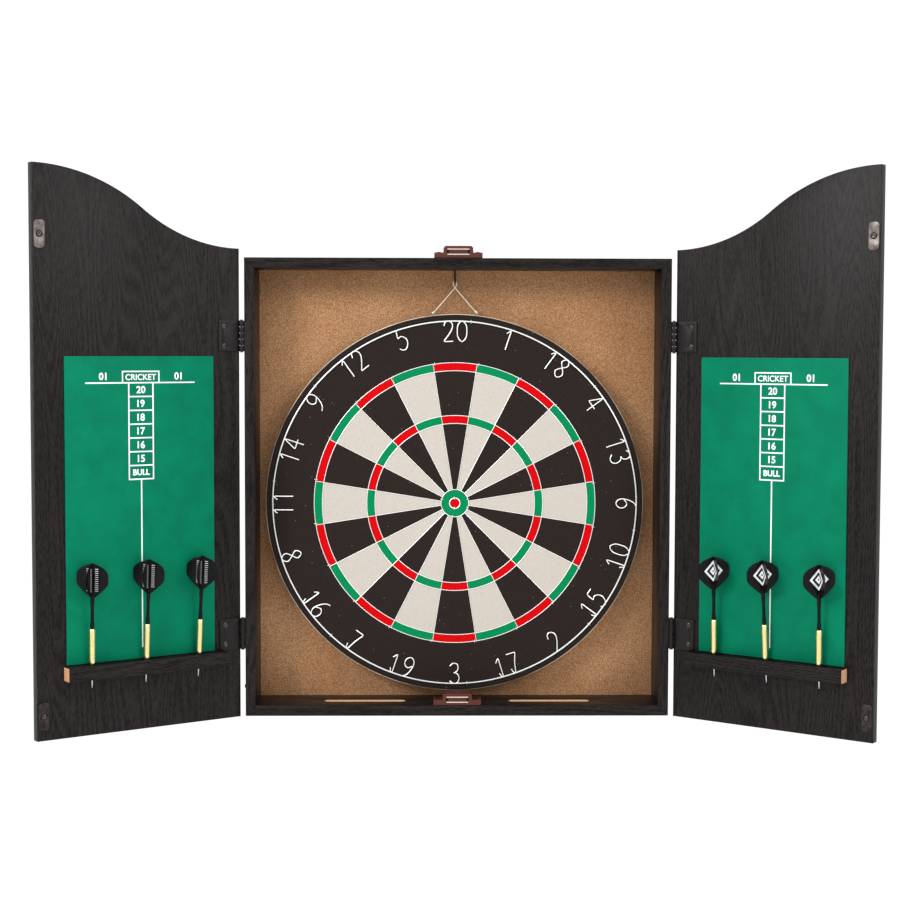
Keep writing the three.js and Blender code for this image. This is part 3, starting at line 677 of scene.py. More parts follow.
# Each door's inner face as its own frame: X to the viewer's right, Y up, Z out of the face.
face_place = {}
for side in SIDES:
    low, high = cad_box(side + "_door_panel", door_place[side])
    turned_round = Matrix(((-1, 0, 0, 0), (0, 0, 1, high.y), (0, 1, 0, 0), (0, 0, 0, 1)))
    face_place[side] = door_place[side] @ turned_round

CROWN_RISE = 86.5 * MM
CROWN_TURN = 0.48  # where the S curve turns over, as a part of the door's width
CROWN_STEPS = 60
DOOR_ARRIS = 0.7 * MM


def crown_height(reach, width):
    """Height of the crown above the door's hinge side, at a distance from the hinge edge."""
    turn, low_rise = CROWN_TURN * width, CROWN_TURN * CROWN_RISE
    if reach <= turn:
        radius = (turn**2 + low_rise**2) / (2 * low_rise)
        return radius - math.sqrt(radius**2 - reach**2)
    rest, high_rise = width - turn, CROWN_RISE - low_rise
    radius = (rest**2 + high_rise**2) / (2 * high_rise)
    return CROWN_RISE - radius + math.sqrt(max(0.0, radius**2 - (width - reach) ** 2))


for side, sign in SIDES.items():
    low, high = cad_box(side + "_door_panel", face_place[side])
    near, far = (low.x, high.x) if sign > 0 else (high.x, low.x)
    width = abs(far - near)
    edge = [(near, low.y), (far, low.y)]
    for i in range(CROWN_STEPS, -1, -1):
        reach = width * i / CROWN_STEPS
        edge.append((near + sign * reach, high.y - CROWN_RISE + crown_height(reach, width)))
    at = face_place[side] @ Matrix.Translation((0, 0, low.z))
    door = mesh_piece(
        side + "_door_board", plate_mesh([edge], high.z - low.z, DOOR_ARRIS, at, 3), upright_foil
    )
    fasten(door, side + "_door", "wood_foil", side + "_door_panel")

# ------------------------------------------------------------------ strike plates
# A zinc-plated steel plate with full round corners near each door's free edge, above and below. The
# magnets pull on it. One crosshead screw holds it, and it can turn a little on the screw.

# The lower plates take a darker, duller copy of the upper plates' zinc: painted shade, for the less light
# that falls on them.
zinc_in_painted_shade = mottled(
    "zinc_plate_painted_shade", "2a2625", "453f3e", 6.0 * MM, 0.02 * MM, Metallic=1.0, Roughness=0.5
)

STRIKE_CORNER = 4 * MM
STRIKE_HOLE = 3.8 * MM
STRIKE_SCREW = (3 * MM, 0.5 * MM, 7 * MM)
for side, sign in SIDES.items():
    # The lower plates get the copy of the zinc darkened as painted shade.
    for level, finish in (("upper", zinc_plate), ("lower", zinc_in_painted_shade)):
        name = f"{side}_{level}_strike"
        low, high = cad_box(name, face_place[side])
        middle = Vector(((low.x + high.x) / 2, (low.y + high.y) / 2))
        outline = rounded_rectangle(low.x, high.x, low.y, high.y, STRIKE_CORNER, 8)
        hole = circle(STRIKE_HOLE, middle.x, middle.y)
        at = face_place[side] @ Matrix.Translation((0, 0, low.z))
        strike = mesh_piece(
            name + "_plate", plate_mesh([outline, hole], high.z - low.z, 0.2 * MM, at), finish
        )
        fasten(strike, side + "_door", "zinc_steel", name)
        low, high = cad_box(name + "_screw", face_place[side])
        at = face_place[side] @ Matrix.Translation((middle.x, middle.y, high.z - STRIKE_SCREW[1]))
        at = at @ Matrix.Rotation(0.3 * sign, 4, "Z")
        screw = screw_head(*STRIKE_SCREW)
        screw.transform(at)
        screw = mesh_piece(name + "_screw_head", screw, blackened_steel)
        fasten(screw, side + "_door", "zinc_steel", name + "_screw")

# ------------------------------------------------------------------ scoreboards
# A thin hardboard sheet, sprayed matt green and glued to each door. The score columns are silk-screen
# printed in white: a ruled headline, seven boxes and a line down the middle.

# Matt green chalkboard paint, with the faint cloud of wiped chalk.
chalkboard = mottled(
    "sprayed_green_chalkboard", "006b4e", "007656", 30 * MM, 0.02 * MM, Roughness=0.6, Specular_IOR_Level=0.06
)
# Screen-printed white ink, a thin opaque film.
white_ink = mottled(
    "screen_printed_white_ink", "eef4f0", "fbfdfc", 2.0 * MM, 0.01 * MM, Roughness=0.6, IOR=1.5
)

INK = 0.03 * MM
LINE = 1.5 * MM
HEAD_TOP, HEAD_FOOT = 16.6 * MM, 31 * MM  # the scoreboard's top down to the headline's box
HEAD_REACH = 23.2 * MM  # the middle to the box's side, and below to the rule's and the column's end
RULE_REACH = 67.5 * MM
COLUMN_REACH = 15.7 * MM
CELL = 15.75 * MM
GAME_REACH, GAME_DROP = 46.5 * MM, 22.8 * MM  # the figures on both sides of the headline
FOOT_MARGIN = 12.5 * MM  # below the middle line


def printed_text(words, height, x, y, weight=0.0):
    """Words centred on a point in X and Y, as a thin film of ink whose capitals have that height."""
    font = bpy.data.curves.new("words", "FONT")
    font.body = words
    font.size = height / 0.729  # the built-in face's capitals are this part of its size
    font.align_x = "CENTER"
    font.align_y = "CENTER"
    font.offset = weight
    font.extrude = INK / 2
    font.resolution_u = 4
    host = bpy.data.objects.new("words", font)
    bpy.context.scene.collection.objects.link(host)
    bpy.context.view_layer.update()
    mesh = bpy.data.meshes.new_from_object(host.evaluated_get(bpy.context.evaluated_depsgraph_get()))
    bpy.data.objects.remove(host)
    bm = bmesh.new()
    bm.from_mesh(mesh)
    bmesh.ops.remove_doubles(bm, verts=bm.verts, dist=0.0005 * MM)
    low = Vector([min(v.co[i] for v in bm.verts) for i in range(3)])
    high = Vector([max(v.co[i] for v in bm.verts) for i in range(3)])
    bm.transform(Matrix.Translation((x - (low.x + high.x) / 2, y - (low.y + high.y) / 2, INK / 2)))
    return bm


def printed_bar(x0, x1, y0, y1):
    """A bar of ink."""
    return box_mesh((x0, y0, 0), (x1, y1, INK), 0.005 * MM)


for side in SIDES:
    low, high = cad_box(side + "_scoreboard", face_place[side])
    edge = [(low.x, low.y), (high.x, low.y), (high.x, high.y), (low.x, high.y)]
    at = face_place[side] @ Matrix.Translation((0, 0, low.z))
    board = mesh_piece(
        side + "_scoreboard_sheet", plate_mesh([edge], high.z - low.z, 0.15 * MM, at), chalkboard
    )
    fasten(board, side + "_door", "chalkboard_face", side + "_scoreboard")

    middle = (low.x + high.x) / 2
    head_low, head_high = high.y - HEAD_FOOT, high.y - HEAD_TOP
    ruled = head_low + LINE
    columns_low = head_low - 7 * CELL
    printed = [
        printed_bar(middle - HEAD_REACH, middle + HEAD_REACH, head_high - LINE, head_high),
        printed_bar(middle - RULE_REACH, middle + RULE_REACH, head_low, ruled),
        printed_text("CRICKET", 6.9 * MM, middle, (ruled + head_high - LINE) / 2, 0.14 * MM),
    ]
    for s in (-1, 1):
        ends = sorted((middle + s * HEAD_REACH, middle + s * (HEAD_REACH - LINE)))
        printed.append(printed_bar(*ends, ruled, head_high - LINE))
        printed.append(printed_text("01", 8.2 * MM, middle + s * GAME_REACH, high.y - GAME_DROP, 0.3 * MM))
        ends = sorted((middle + s * COLUMN_REACH, middle + s * (COLUMN_REACH - LINE)))
        printed.append(printed_bar(*ends, columns_low, head_low))
    for i, word in enumerate(("20", "19", "18", "17", "16", "15", "BULL")):
        cell_low = head_low - (i + 1) * CELL
        inside = COLUMN_REACH - LINE
        printed.append(printed_bar(middle - inside, middle + inside, cell_low, cell_low + LINE))
        height = 6.8 * MM if word == "BULL" else 8.2 * MM
        printed.append(printed_text(word, height, middle, cell_low + (CELL + LINE) / 2, 0.26 * MM))
    printed.append(printed_bar(middle - LINE / 2, middle + LINE / 2, low.y + FOOT_MARGIN, columns_low))
    ink = joined(*printed)
    ink.transform(face_place[side] @ Matrix.Translation((0, 0, high.z + 0.005 * MM)))
    fasten(mesh_piece(side + "_score_print", ink, white_ink), side + "_door", "chalkboard_face")

# ------------------------------------------------------------------ dart racks
# A foil-wrapped softwood batten across each door, fixed from behind, with three drilled holes.
# Its sawn ends are bare and show pale pink-brown end grain.

# Sawn end grain: fine darker dots and rings in a warm pale wood.
end_grain = mottled(
    "sawn_softwood_end_grain", "b5805a", "dcab80", 0.9 * MM, 0.1 * MM, Roughness=0.8, IOR=1.45
)

RACK_BORE = 2.75 * MM
RACK_ARRIS = 0.4 * MM
for side in SIDES:
    low, high = cad_box(side + "_dart_rack", face_place[side])
    inward = face_place[side].inverted()
    across = face_place[side].to_3x3() @ Vector((1, 0, 0))
    rack_foil = wood_foil(side + "_rack_oak_foil", (0, math.pi / 2, math.atan2(across.y, across.x)))
    holes = []
    for i in (1, 2, 3):
        slide = Vector(joints[f"{side}_dart_{i}_lift"]["axis"])
        tip = min((v.co for v in frame["nodes"][f"{side}_dart_{i}_barrel"].data.vertices), key=slide.dot)
        tip, slide = inward @ tip, inward.to_3x3() @ slide
        crossing = tip + slide * ((high.y - tip.y) / slide.y)
        holes.append(circle(RACK_BORE, crossing.x, -crossing.z, 28))
    edge = [(low.x, -high.z), (high.x, -high.z), (high.x, -low.z), (low.x, -low.z)]
    lying = Matrix.Translation((0, low.y, 0)) @ Matrix.Rotation(-math.pi / 2, 4, "X")
    rack = plate_mesh([edge, *holes], high.y - low.y, RACK_ARRIS, face_place[side] @ lying)
    rack = mesh_piece(side + "_dart_rack_batten", rack, rack_foil, end_grain)
    for face in rack.data.polygons:
        from_middle = abs((inward @ face.center).x - (low.x + high.x) / 2)
        at_end = abs(from_middle - (high.x - low.x) / 2) < 0.05 * MM
        if at_end and abs(face.normal.dot(across)) > 0.95:
            face.material_index = 1
    fasten(rack, side + "_door", "wood_foil", side + "_dart_rack")

# ------------------------------------------------------------------ darts
# Each dart has a steel point pressed into a knurled brass barrel, a black nylon shaft screwed in behind,
# and a four-winged flight of folded polyester film pushed into the shaft's slots.

# Turned and plated brass, pale yellow; the knurl breaks up its shine.
knurled_brass = mottled(
    "turned_pale_brass", "e6d890", "fdf4bf", 0.6 * MM, 0.06 * MM, Metallic=1.0, Roughness=0.3
)
# Ground steel point.
ground_steel = mottled("ground_steel", "a9a6a3", "d4d0cc", 0.6 * MM, 0.01 * MM, Metallic=1.0, Roughness=0.25)
# Injection-moulded black nylon with a soft shine.
black_nylon = mottled(
    "moulded_black_nylon", "050506", "0c0c0e", 1.0 * MM, 0.02 * MM, Roughness=0.3, Specular_IOR_Level=0.15
)


def flight_film(name, ladder):
    """Printed polyester film. UV runs across a wing from its fold and up it."""
    material, tree, surface = new_material(name, Roughness=0.3, Specular_IOR_Level=0.14)
    uv = add_node(tree, "ShaderNodeUVMap", uv_map="wing").outputs["UV"]
    split = add_node(tree, "ShaderNodeSeparateXYZ", {"Vector": uv}).outputs
    if ladder:
        # Short bars one over the other, in a strip up the wing beside the fold.
        tests = [
            ("Y", ("MULTIPLY", 9.0), ("WRAP", 1.0), ("LESS_THAN", 0.62)),
            ("X", ("GREATER_THAN", 0.16)),
            ("X", ("LESS_THAN", 0.36)),
            ("Y", ("GREATER_THAN", 0.2)),
            ("Y", ("LESS_THAN", 0.86)),
        ]
    else:
        # Diamonds in each other, across the fold.
        away = [("SUBTRACT", 0.58), ("ABSOLUTE", 0.0), ("MULTIPLY", 1.9), ("ADD", split["X"])]
        tests = [("Y", *away, ("PINGPONG", 0.17), ("GREATER_THAN", 0.085)), ("Y", *away, ("LESS_THAN", 0.62))]
    mask = 1.0
    for axis, *operations in tests:
        inside = split[axis]
        for operation, value in operations:
            inside = add_node(tree, "ShaderNodeMath", {0: inside, 1: value}, operation=operation).outputs[0]
        mask = add_node(tree, "ShaderNodeMath", {0: mask, 1: inside}, operation="MULTIPLY").outputs[0]
    place = add_node(tree, "ShaderNodeTexCoord").outputs["Object"]
    film = add_node(
        tree, "ShaderNodeTexNoise", {"Vector": place, "Scale": 1 / (6 * MM), "Detail": 2.0}
    ).outputs["Fac"]
    black, silver = (
        set_stops(add_node(tree, "ShaderNodeValToRGB", {"Fac": film}), (0.3, dark), (0.7, pale))
        for dark, pale in (("060607", "101012"), ("d0d2d6", "f4f5f7"))
    )
    mixed = add_node(tree, "ShaderNodeMix", {0: mask, 6: black, 7: silver}, data_type="RGBA")
    coat(tree, surface, mixed.outputs[2], film, 0.3, 0.1 * MM)
    return material


films = {
    "left": flight_film("black_film_with_silver_ladder", True),
    "right": flight_film("black_film_with_silver_diamond", False),
}

POINT_LENGTH = 26 * MM
BARREL = 3.6 * MM
GROOVE = 1.15 * MM  # from one groove of the grip to the next
GROOVE_DEPTH = 0.28 * MM
FLIGHT_REACH = 19 * MM
FLIGHT_SHOULDER = 30 * MM
FILM_HALF = 0.22 * MM  # half the film's thickness at the fold
FILM_BOW = 0.35 * MM


def barrel_profile(nose, top):
    """A bottle-nosed barrel with a run of fine grooves between two plain collars."""
    profile = [(0, nose), (1.7 * MM, nose), (2.0 * MM, nose + 0.4 * MM), (BARREL, nose + 4.6 * MM)]
    z = nose + 7 * MM
    groove_floor = BARREL - GROOVE_DEPTH
    while z < top - 8 * MM:
        profile += [(BARREL, z), (BARREL, z + 0.55 * GROOVE)]
        profile += [(groove_floor, z + 0.68 * GROOVE), (groove_floor, z + 0.87 * GROOVE)]
        z += GROOVE
    profile += [(BARREL, z), (BARREL, top - 1.2 * MM), (2.9 * MM, top), (0, top)]
    return profile


def wing_outline(height):
    """Half of the flight's silhouette, from its fold at the root round to its peak."""
    reach, shoulder = FLIGHT_REACH, FLIGHT_SHOULDER
    outline = [(0.0, 0.0), (1.8 * MM, 0.3 * MM), (reach * 0.93, shoulder * 0.5), (reach, shoulder * 0.62)]
    outline += [(reach, shoulder * 0.9), (reach * 0.97, shoulder), (reach * 0.80, height * 0.86)]
    return outline + [(reach * 0.35, height * 0.955), (0.0, height)]


def flight_mesh(height, place, cuts=10, across=4):
    """Four wings of film folded out from the shaft's axis, each with its own UV."""
    bm = bmesh.new()
    layer = bm.loops.layers.uv.new("wing")
    outline = wing_outline(height)
    rows = []
    for k in range(cuts + 1):
        z = height * k / cuts
        out = 0.0
        for (x0, z0), (x1, z1) in zip(outline, outline[1:]):
            if z0 <= z <= z1 and z1 > z0:
                out = max(out, x0 + (x1 - x0) * (z - z0) / (z1 - z0))
        rows.append((max(out, 0.5 * MM), z))

    def film_face(corners):
        """A face through (vertex, u, v) corners."""
        face = bm.faces.new([corner[0] for corner in corners])
        for loop, corner in zip(face.loops, corners):
            loop[layer].uv = corner[1:]

    for wing in range(4):
        turn = Matrix.Rotation(math.radians(45 + 90 * wing), 4, "Z")
        grids = []
        for face_side in (-1, 1):
            grid = []
            for out, z in rows:
                row = []
                for j in range(across + 1):
                    x = out * j / across
                    # The film bows a little and thins to its edge.
                    half = face_side * FILM_HALF * (1 - 0.6 * j / across)
                    y = half + FILM_BOW * math.sin(math.pi * j / across)
                    row.append((bm.verts.new(turn @ Vector((x, y, z))), x / FLIGHT_REACH, z / height))
                grid.append(row)
            for a, b in zip(grid, grid[1:]):
                for j in range(across):
                    film_face([a[j], a[j + 1], b[j + 1], b[j]][::-face_side])
            grids.append(grid)
        front, rear = grids
        rim = [row[-1] for row in front], [row[-1] for row in rear]
        fold = [row[0] for row in front], [row[0] for row in rear]
        for first, second in (rim, (front[0], rear[0]), (front[-1], rear[-1]), fold):
            for i in range(len(first) - 1):
                film_face([first[i], first[i + 1], second[i + 1], second[i]])
    bmesh.ops.recalc_face_normals(bm, faces=bm.faces)
    bm.transform(place)
    return bm


for side in SIDES:
    door_x = face_place[side].to_3x3() @ Vector((1, 0, 0))
    for i in (1, 2, 3):
        body = f"{side}_dart_{i}"
        axis = Vector(joints[body + "_lift"]["axis"]).normalized()
        right = (door_x - axis * door_x.dot(axis)).normalized()
        tip = min((v.co for v in frame["nodes"][body + "_barrel"].data.vertices), key=axis.dot)
        up = Matrix((right, axis.cross(right), axis)).transposed().to_4x4()
        at = Matrix.Translation(tip) @ up
        spans = {part: tuple(cad_box(f"{body}_{part}", at)) for part in ("barrel", "shaft", "flight")}

        profile = [(0, 0.2 * MM), (0.35 * MM, 1.2 * MM), (0.8 * MM, 5 * MM), (1.12 * MM, 11 * MM)]
        profile += [(1.12 * MM, POINT_LENGTH), (0, POINT_LENGTH)]
        point = mesh_piece(body + "_point", turned_mesh(profile, 12, at), ground_steel)
        fasten(point, body, "zinc_steel")
        barrel = turned_mesh(barrel_profile(POINT_LENGTH, spans["barrel"][1].z), 20, at)
        fasten(mesh_piece(body + "_knurled_barrel", barrel, knurled_brass), body, "brass", body + "_barrel")

        low, high = spans["shaft"]
        root = spans["flight"][0].z
        profile = [(0, low.z), (2.3 * MM, low.z), (2.4 * MM, low.z + 1 * MM), (2.4 * MM, low.z + 6 * MM)]
        profile += [(1.9 * MM, low.z + 9 * MM), (1.85 * MM, root - 9 * MM), (2.3 * MM, root - 5 * MM)]
        profile += [(2.3 * MM, root + 1 * MM), (1.7 * MM, high.z - 0.6 * MM)]
        profile += [(1.1 * MM, high.z), (0, high.z)]
        shaft = mesh_piece(body + "_nylon_shaft", turned_mesh(profile, 16, at), black_nylon)
        fasten(shaft, body, "shaft_plastic", body + "_shaft")

        low, high = spans["flight"]
        flight = flight_mesh(high.z - low.z, at @ Matrix.Translation((0, 0, low.z)))
        fasten(mesh_piece(body + "_film_flight", flight, films[side]), body, "flight_film", body + "_flight")

# ------------------------------------------------------------------ dart board
# A coiled-paper disc, pressed hard and printed in black, cream, red and green, with a few specks of
# wear. Twenty segments are cut by double, treble and bull rings. The rim is a black band.

low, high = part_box("dartboard_core")
centre = Vector(((low.x + high.x) / 2, 0, (low.z + high.z) / 2))
face_y, rear_y = low.y, high.y
core_radius = (high.x - low.x) / 2


def pressed_paper(name, dark, pale, speck):
    """Printed pressed paper: short fibres, a dry surface, and sparse pale or dark specks."""
    material, tree, surface = new_material(name, Roughness=0.85, Specular_IOR_Level=0.08)
    place = add_node(tree, "ShaderNodeTexCoord").outputs["Object"]
    fibre = add_node(
        tree, "ShaderNodeTexNoise", {"Vector": place, "Scale": 1 / (1.1 * MM), "Detail": 3.0}
    ).outputs["Fac"]
    tone = set_stops(add_node(tree, "ShaderNodeValToRGB", {"Fac": fibre}), (0.3, dark), (0.7, pale))
    dots = add_node(tree, "ShaderNodeTexVoronoi", {"Vector": place, "Scale": 1 / (9 * MM), "Randomness": 1.0})
    near = add_node(tree, "ShaderNodeMath", {0: dots.outputs["Distance"], 1: 0.045}, operation="LESS_THAN")
    speck_tone = add_node(tree, "ShaderNodeMix", {0: near.outputs[0], 6: tone}, data_type="RGBA")
    speck_tone.inputs[7].default_value = linear(speck)
    coat(tree, surface, speck_tone.outputs[2], fibre, 0.5, 0.15 * MM)
    return material


paper = {
    "black": pressed_paper("printed_paper_black", "1f1917", "2b2320", "8f867c"),
    "cream": pressed_paper("printed_paper_cream", "b2aaa1", "c1bab1", "989085"),
    "red": pressed_paper("printed_paper_red", "b60005", "c90108", "8e0509"),
    "green": pressed_paper("printed_paper_green", "007244", "008450", "065c38"),
}
colours = list(paper)

RINGS = [r * MM for r in (6.35, 16.6, 96.6, 106.3, 160.2, 170)]  # radii where the print changes
STEPS = 6  # facets across one segment
SEGMENTS = 20
CORE_ARRIS = 0.4 * MM
bm = bmesh.new()
radii = RINGS + [core_radius - CORE_ARRIS]
steps = SEGMENTS * STEPS
turns = [2 * math.pi * (k - STEPS / 2) / steps for k in range(steps)]


def polar(radius, turn, y):
    """A point on the board, by its turn clockwise from the top."""
    return Vector((centre.x + radius * math.sin(turn), y, centre.z + radius * math.cos(turn)))


loops = [[bm.verts.new(polar(r, t, face_y)) for t in turns] for r in radii]
loops.append([bm.verts.new(polar(core_radius, t, face_y + CORE_ARRIS)) for t in turns])
loops.append([bm.verts.new(polar(core_radius, t, rear_y - CORE_ARRIS)) for t in turns])
loops.append([bm.verts.new(polar(core_radius - CORE_ARRIS, t, rear_y)) for t in turns])
hub = bm.verts.new(polar(0, 0, face_y))
rear_hub = bm.verts.new(polar(0, 0, rear_y))
for k in range(steps):
    n = (k + 1) % steps
    dark_segment = (k // STEPS) % 2 == 0
    bm.faces.new((hub, loops[0][n], loops[0][k])).material_index = colours.index("red")
    for ring, (inner, outer) in enumerate(zip(loops, loops[1:])):
        face = bm.faces.new((inner[k], inner[n], outer[n], outer[k]))
        if ring == 0:
            colour = "green"
        elif ring in (1, 3):
            colour = "black" if dark_segment else "cream"
        elif ring in (2, 4):
            colour = "red" if dark_segment else "green"
        else:
            colour = "black"
        face.material_index = colours.index(colour)
    bm.faces.new((rear_hub, loops[-1][k], loops[-1][n])).material_index = 0
bmesh.ops.recalc_face_normals(bm, faces=bm.faces)
fasten(mesh_piece("dartboard_paper_disc", bm, *paper.values()), "dartboard", "coiled_paper", "dartboard_core")


def ring_mesh(profile, sides):
    """A closed (radius, y) profile turned about the board's Y axis."""
    bm = bmesh.new()
    spin = [2 * math.pi * k / sides for k in range(sides)]
    loops = [[bm.verts.new(polar(r, t, y)) for t in spin] for r, y in profile]
    for a, b in zip(loops, loops[1:] + loops[:1]):
        for k in range(sides):
            bm.faces.new((a[k - 1], a[k], b[k], b[k - 1]))
    bmesh.ops.recalc_face_normals(bm, faces=bm.faces)
    return bm


# Rolled steel strip, black lacquered, with a thin pale line painted along its front edge as a highlight.
low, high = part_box("dartboard_rim_band")
outer = (high.x - low.x) / 2
inner = outer - 1.2 * MM
ease = 0.3 * MM
front_chamfer = 0.8 * MM  # width of the front chamfer, which is painted pale as a highlight
profile = [(inner, low.y + ease), (inner + ease, low.y), (outer - front_chamfer, low.y), (outer, low.y + front_chamfer)]
profile += [(outer, high.y - ease), (outer - ease, high.y), (inner + ease, high.y), (inner, high.y - ease)]
band_lacquer = mottled(
    "black_lacquered_strip", "151211", "221e1c", 4 * MM, 0.03 * MM, Roughness=0.4, Specular_IOR_Level=0.25
)
# A painted highlight: the front chamfer is painted a pale warm grey, as the lit edge.
painted_edge_highlight = mottled("band_edge_painted_highlight", "7d6a58", "f3e4cf", 60 * MM, 0.02 * MM, Roughness=0.5)
band = mesh_piece("dartboard_steel_band", ring_mesh(profile, 160), band_lacquer, painted_edge_highlight)
# The faces of the front chamfer take the painted highlight.
for face in band.data.polygons:
    at_edge = face.center.y < low.y + front_chamfer and (face.center - centre).xz.length > outer - 0.6 * front_chamfer
    if at_edge and abs(face.normal.y) < 0.95:
        face.material_index = 1
fasten(band, "dartboard", "rim_band", "dartboard_rim_band")

# ------------------------------------------------------------------ spider
# The web of bright drawn wire on the face: five rings, twenty spokes and the small bull ring, welded
# where they cross. Short staples over the wires hold it to the board.

# Nickel-plated drawn wire: bright, smooth and nearly white where it catches the light.
bright_wire = mottled(
    "nickel_plated_wire", "e6e8e6", "fdfdfa", 1.5 * MM, 0.01 * MM, Metallic=0.7, Roughness=0.4
)

SPIDER_RINGS = RINGS[1:]
SPOKE_END = 170.4 * MM
WEB_WIRE = 0.45 * MM
BULL_WIRE = 0.65 * MM
web_lift = face_y - WEB_WIRE - 0.05 * MM


def ring_path(radius, y, count=120):
    """A closed ring about the board's centre."""
    return [polar(radius, 2 * math.pi * k / count, y) for k in range(count)], True


paths = [ring_path(r, web_lift) for r in SPIDER_RINGS]
spokes = []
for k in range(SEGMENTS):
    t = 2 * math.pi * (k + 0.5) / SEGMENTS
    spokes.append(([polar(SPIDER_RINGS[0], t, web_lift), polar(SPOKE_END, t, web_lift)], False))
web = joined(
    wire_mesh(paths, WEB_WIRE, bright_wire, 8), wire_mesh(spokes, WEB_WIRE * 0.8, bright_wire, 6)
)
fasten(mesh_piece("dartboard_wire_web", web, bright_wire), "dartboard", "plated_wire", "dartboard_spider")

bull = wire_mesh([ring_path(RINGS[0], web_lift, 40)], BULL_WIRE, bright_wire)
bull = mesh_piece("dartboard_bull_wire", bull, bright_wire)
fasten(bull, "dartboard", "plated_wire", "dartboard_bull_ring")



def staple_row(crown, height, leg, bend, steps, wire, sides, spots):
    """Like staples astride a ring, each with its crown above the face and its legs in the board."""
    corners = [(0, y, z) for y, z in ((leg, -crown), (-height, -crown), (-height, crown), (leg, crown))]
    staple = wire_mesh([(rounded_path(corners, bend, steps), False)], wire, bright_wire, sides)
    places = [Matrix.Translation(polar(r, t, face_y)) @ Matrix.Rotation(t, 4, "Y") for r, t in spots]
    return set_on_points(staple, places, bright_wire)


# A short crown of thin wire over the outer ring beside each spoke, and a few on the bull's two rings.
spots = [(SPIDER_RINGS[4], 2 * math.pi * (k + 0.5) / SEGMENTS + 0.012) for k in range(SEGMENTS)]
spots += [(SPIDER_RINGS[0], math.radians(d)) for d in (72, 108, 190, 287)]
spots += [(RINGS[0], math.radians(d)) for d in (-6, 186)]
web_staples = staple_row(1.7 * MM, 1.25 * MM, 0.6 * MM, 0.5 * MM, 2, 0.32 * MM, 5, spots)
fasten(mesh_piece("dartboard_web_staples", web_staples, bright_wire), "dartboard", "plated_wire")

# ------------------------------------------------------------------ number ring
# One hoop of 2 mm bright wire with the twenty numbers bent from thinner wire and welded inside it.
# It isn't glued: eight staples hold it, so that it can be turned to spread the wear.

NUMBERS = [20, 1, 18, 4, 13, 6, 10, 15, 2, 17, 3, 19, 7, 16, 8, 11, 14, 9, 12, 5]
FEET_OUT = [10, 15, 2, 17, 3, 19, 7, 16, 8]
# Each figure as smooth bends through points of its width and height, with a corner between two bends.
FIGURES = {
    "0": [
        [(0.5, 0), (0.93, 0.2), (1, 0.5), (0.93, 0.8), (0.5, 1), (0.07, 0.8), (0, 0.5), (0.07, 0.2), (0.5, 0)]
    ],
    "1": [[(0.5, 0), (0.5, 0.5), (0.52, 0.95)], [(0.52, 0.95), (0.3, 0.86), (0.14, 0.76)]],
    "2": [
        [(0.04, 0.76), (0.2, 0.95), (0.55, 1), (0.92, 0.84), (0.86, 0.58), (0.45, 0.27), (0, 0)],
        [(0, 0), (1, 0.02)],
    ],
    "3": [
        [(0.04, 0.86), (0.35, 1), (0.78, 0.95), (0.9, 0.76), (0.72, 0.58), (0.42, 0.53)],
        [(0.42, 0.53), (0.8, 0.48), (1, 0.27), (0.82, 0.05), (0.4, 0), (0, 0.14)],
    ],
    "4": [[(0.72, 0), (0.72, 1)], [(0.72, 1), (0, 0.34)], [(0, 0.34), (1.05, 0.34)]],
    "5": [
        [(0.92, 1), (0.18, 1)],
        [(0.18, 1), (0.1, 0.56)],
        [(0.1, 0.56), (0.5, 0.66), (0.93, 0.5), (0.97, 0.24), (0.66, 0.01), (0.3, 0), (0, 0.1)],
    ],
    "6": [
        [(0.86, 1), (0.4, 0.86), (0.06, 0.5), (0.05, 0.18), (0.45, 0)]
        + [(0.92, 0.14), (0.94, 0.4), (0.55, 0.54), (0.1, 0.4)]
    ],
    "7": [[(0, 1), (1, 1)], [(1, 1), (0.62, 0.5), (0.42, 0)]],
    "8": [
        [(0.5, 0.53), (0.92, 0.77), (0.5, 1), (0.08, 0.77), (0.5, 0.53)]
        + [(0.96, 0.25), (0.5, 0), (0.04, 0.25), (0.5, 0.53)]
    ],
    "9": [
        [(0.14, 0), (0.6, 0.14), (0.94, 0.5), (0.95, 0.82), (0.55, 1)]
        + [(0.08, 0.86), (0.06, 0.6), (0.45, 0.46), (0.9, 0.6)]
    ],
}
# Where a figure's foot is on the hoop, the wire's end is bent back beside it.
TAILS = {"1": [(0.16, 0.24), (0.3, 0.05), (0.5, 0)], "7": [(0.08, 0.26), (0.2, 0.06), (0.42, 0)]}
FIGURE_HEIGHT, FIGURE_WIDTH, FIGURE_GAP = 25 * MM, 11.5 * MM, 5 * MM
FIGURE_REST = 0.2 * MM  # a figure's end past the hoop's middle, where it is welded


def smooth_bend(points, steps=5):
    """A smooth line through points."""
    points = [Vector(p) for p in points]
    if len(points) == 2:
        return points
    closed = (points[0] - points[-1]).length < 1e-6
    before = points[-2] if closed else points[0] * 2 - points[1]
    after = points[1] if closed else points[-1] * 2 - points[-2]
    line = []
    knots = [before, *points, after]
    for a, b, c, d in zip(knots, knots[1:], knots[2:], knots[3:]):
        for k in range(steps):
            t = k / steps
            curve = (2 * a - 5 * b + 4 * c - d) * t**2
            line.append(0.5 * (2 * b + (c - a) * t + curve + (3 * b - a - 3 * c + d) * t**3))
    return line + [points[-1]]


def eased_corners(line, step=0.09, rounds=2):
    """A line cut into short steps, with its sharp corners bent round as wire bends."""
    fine = [line[0]]
    for a, b in zip(line, line[1:]):
        cuts = max(1, round((b - a).length / step))
        fine += [a.lerp(b, k / cuts) for k in range(1, cuts + 1)]
    for _ in range(rounds):
        middle = [(a + b * 2 + c) / 4 for a, b, c in zip(fine, fine[1:], fine[2:])]
        fine = [fine[0], *middle, fine[-1]]
    return fine


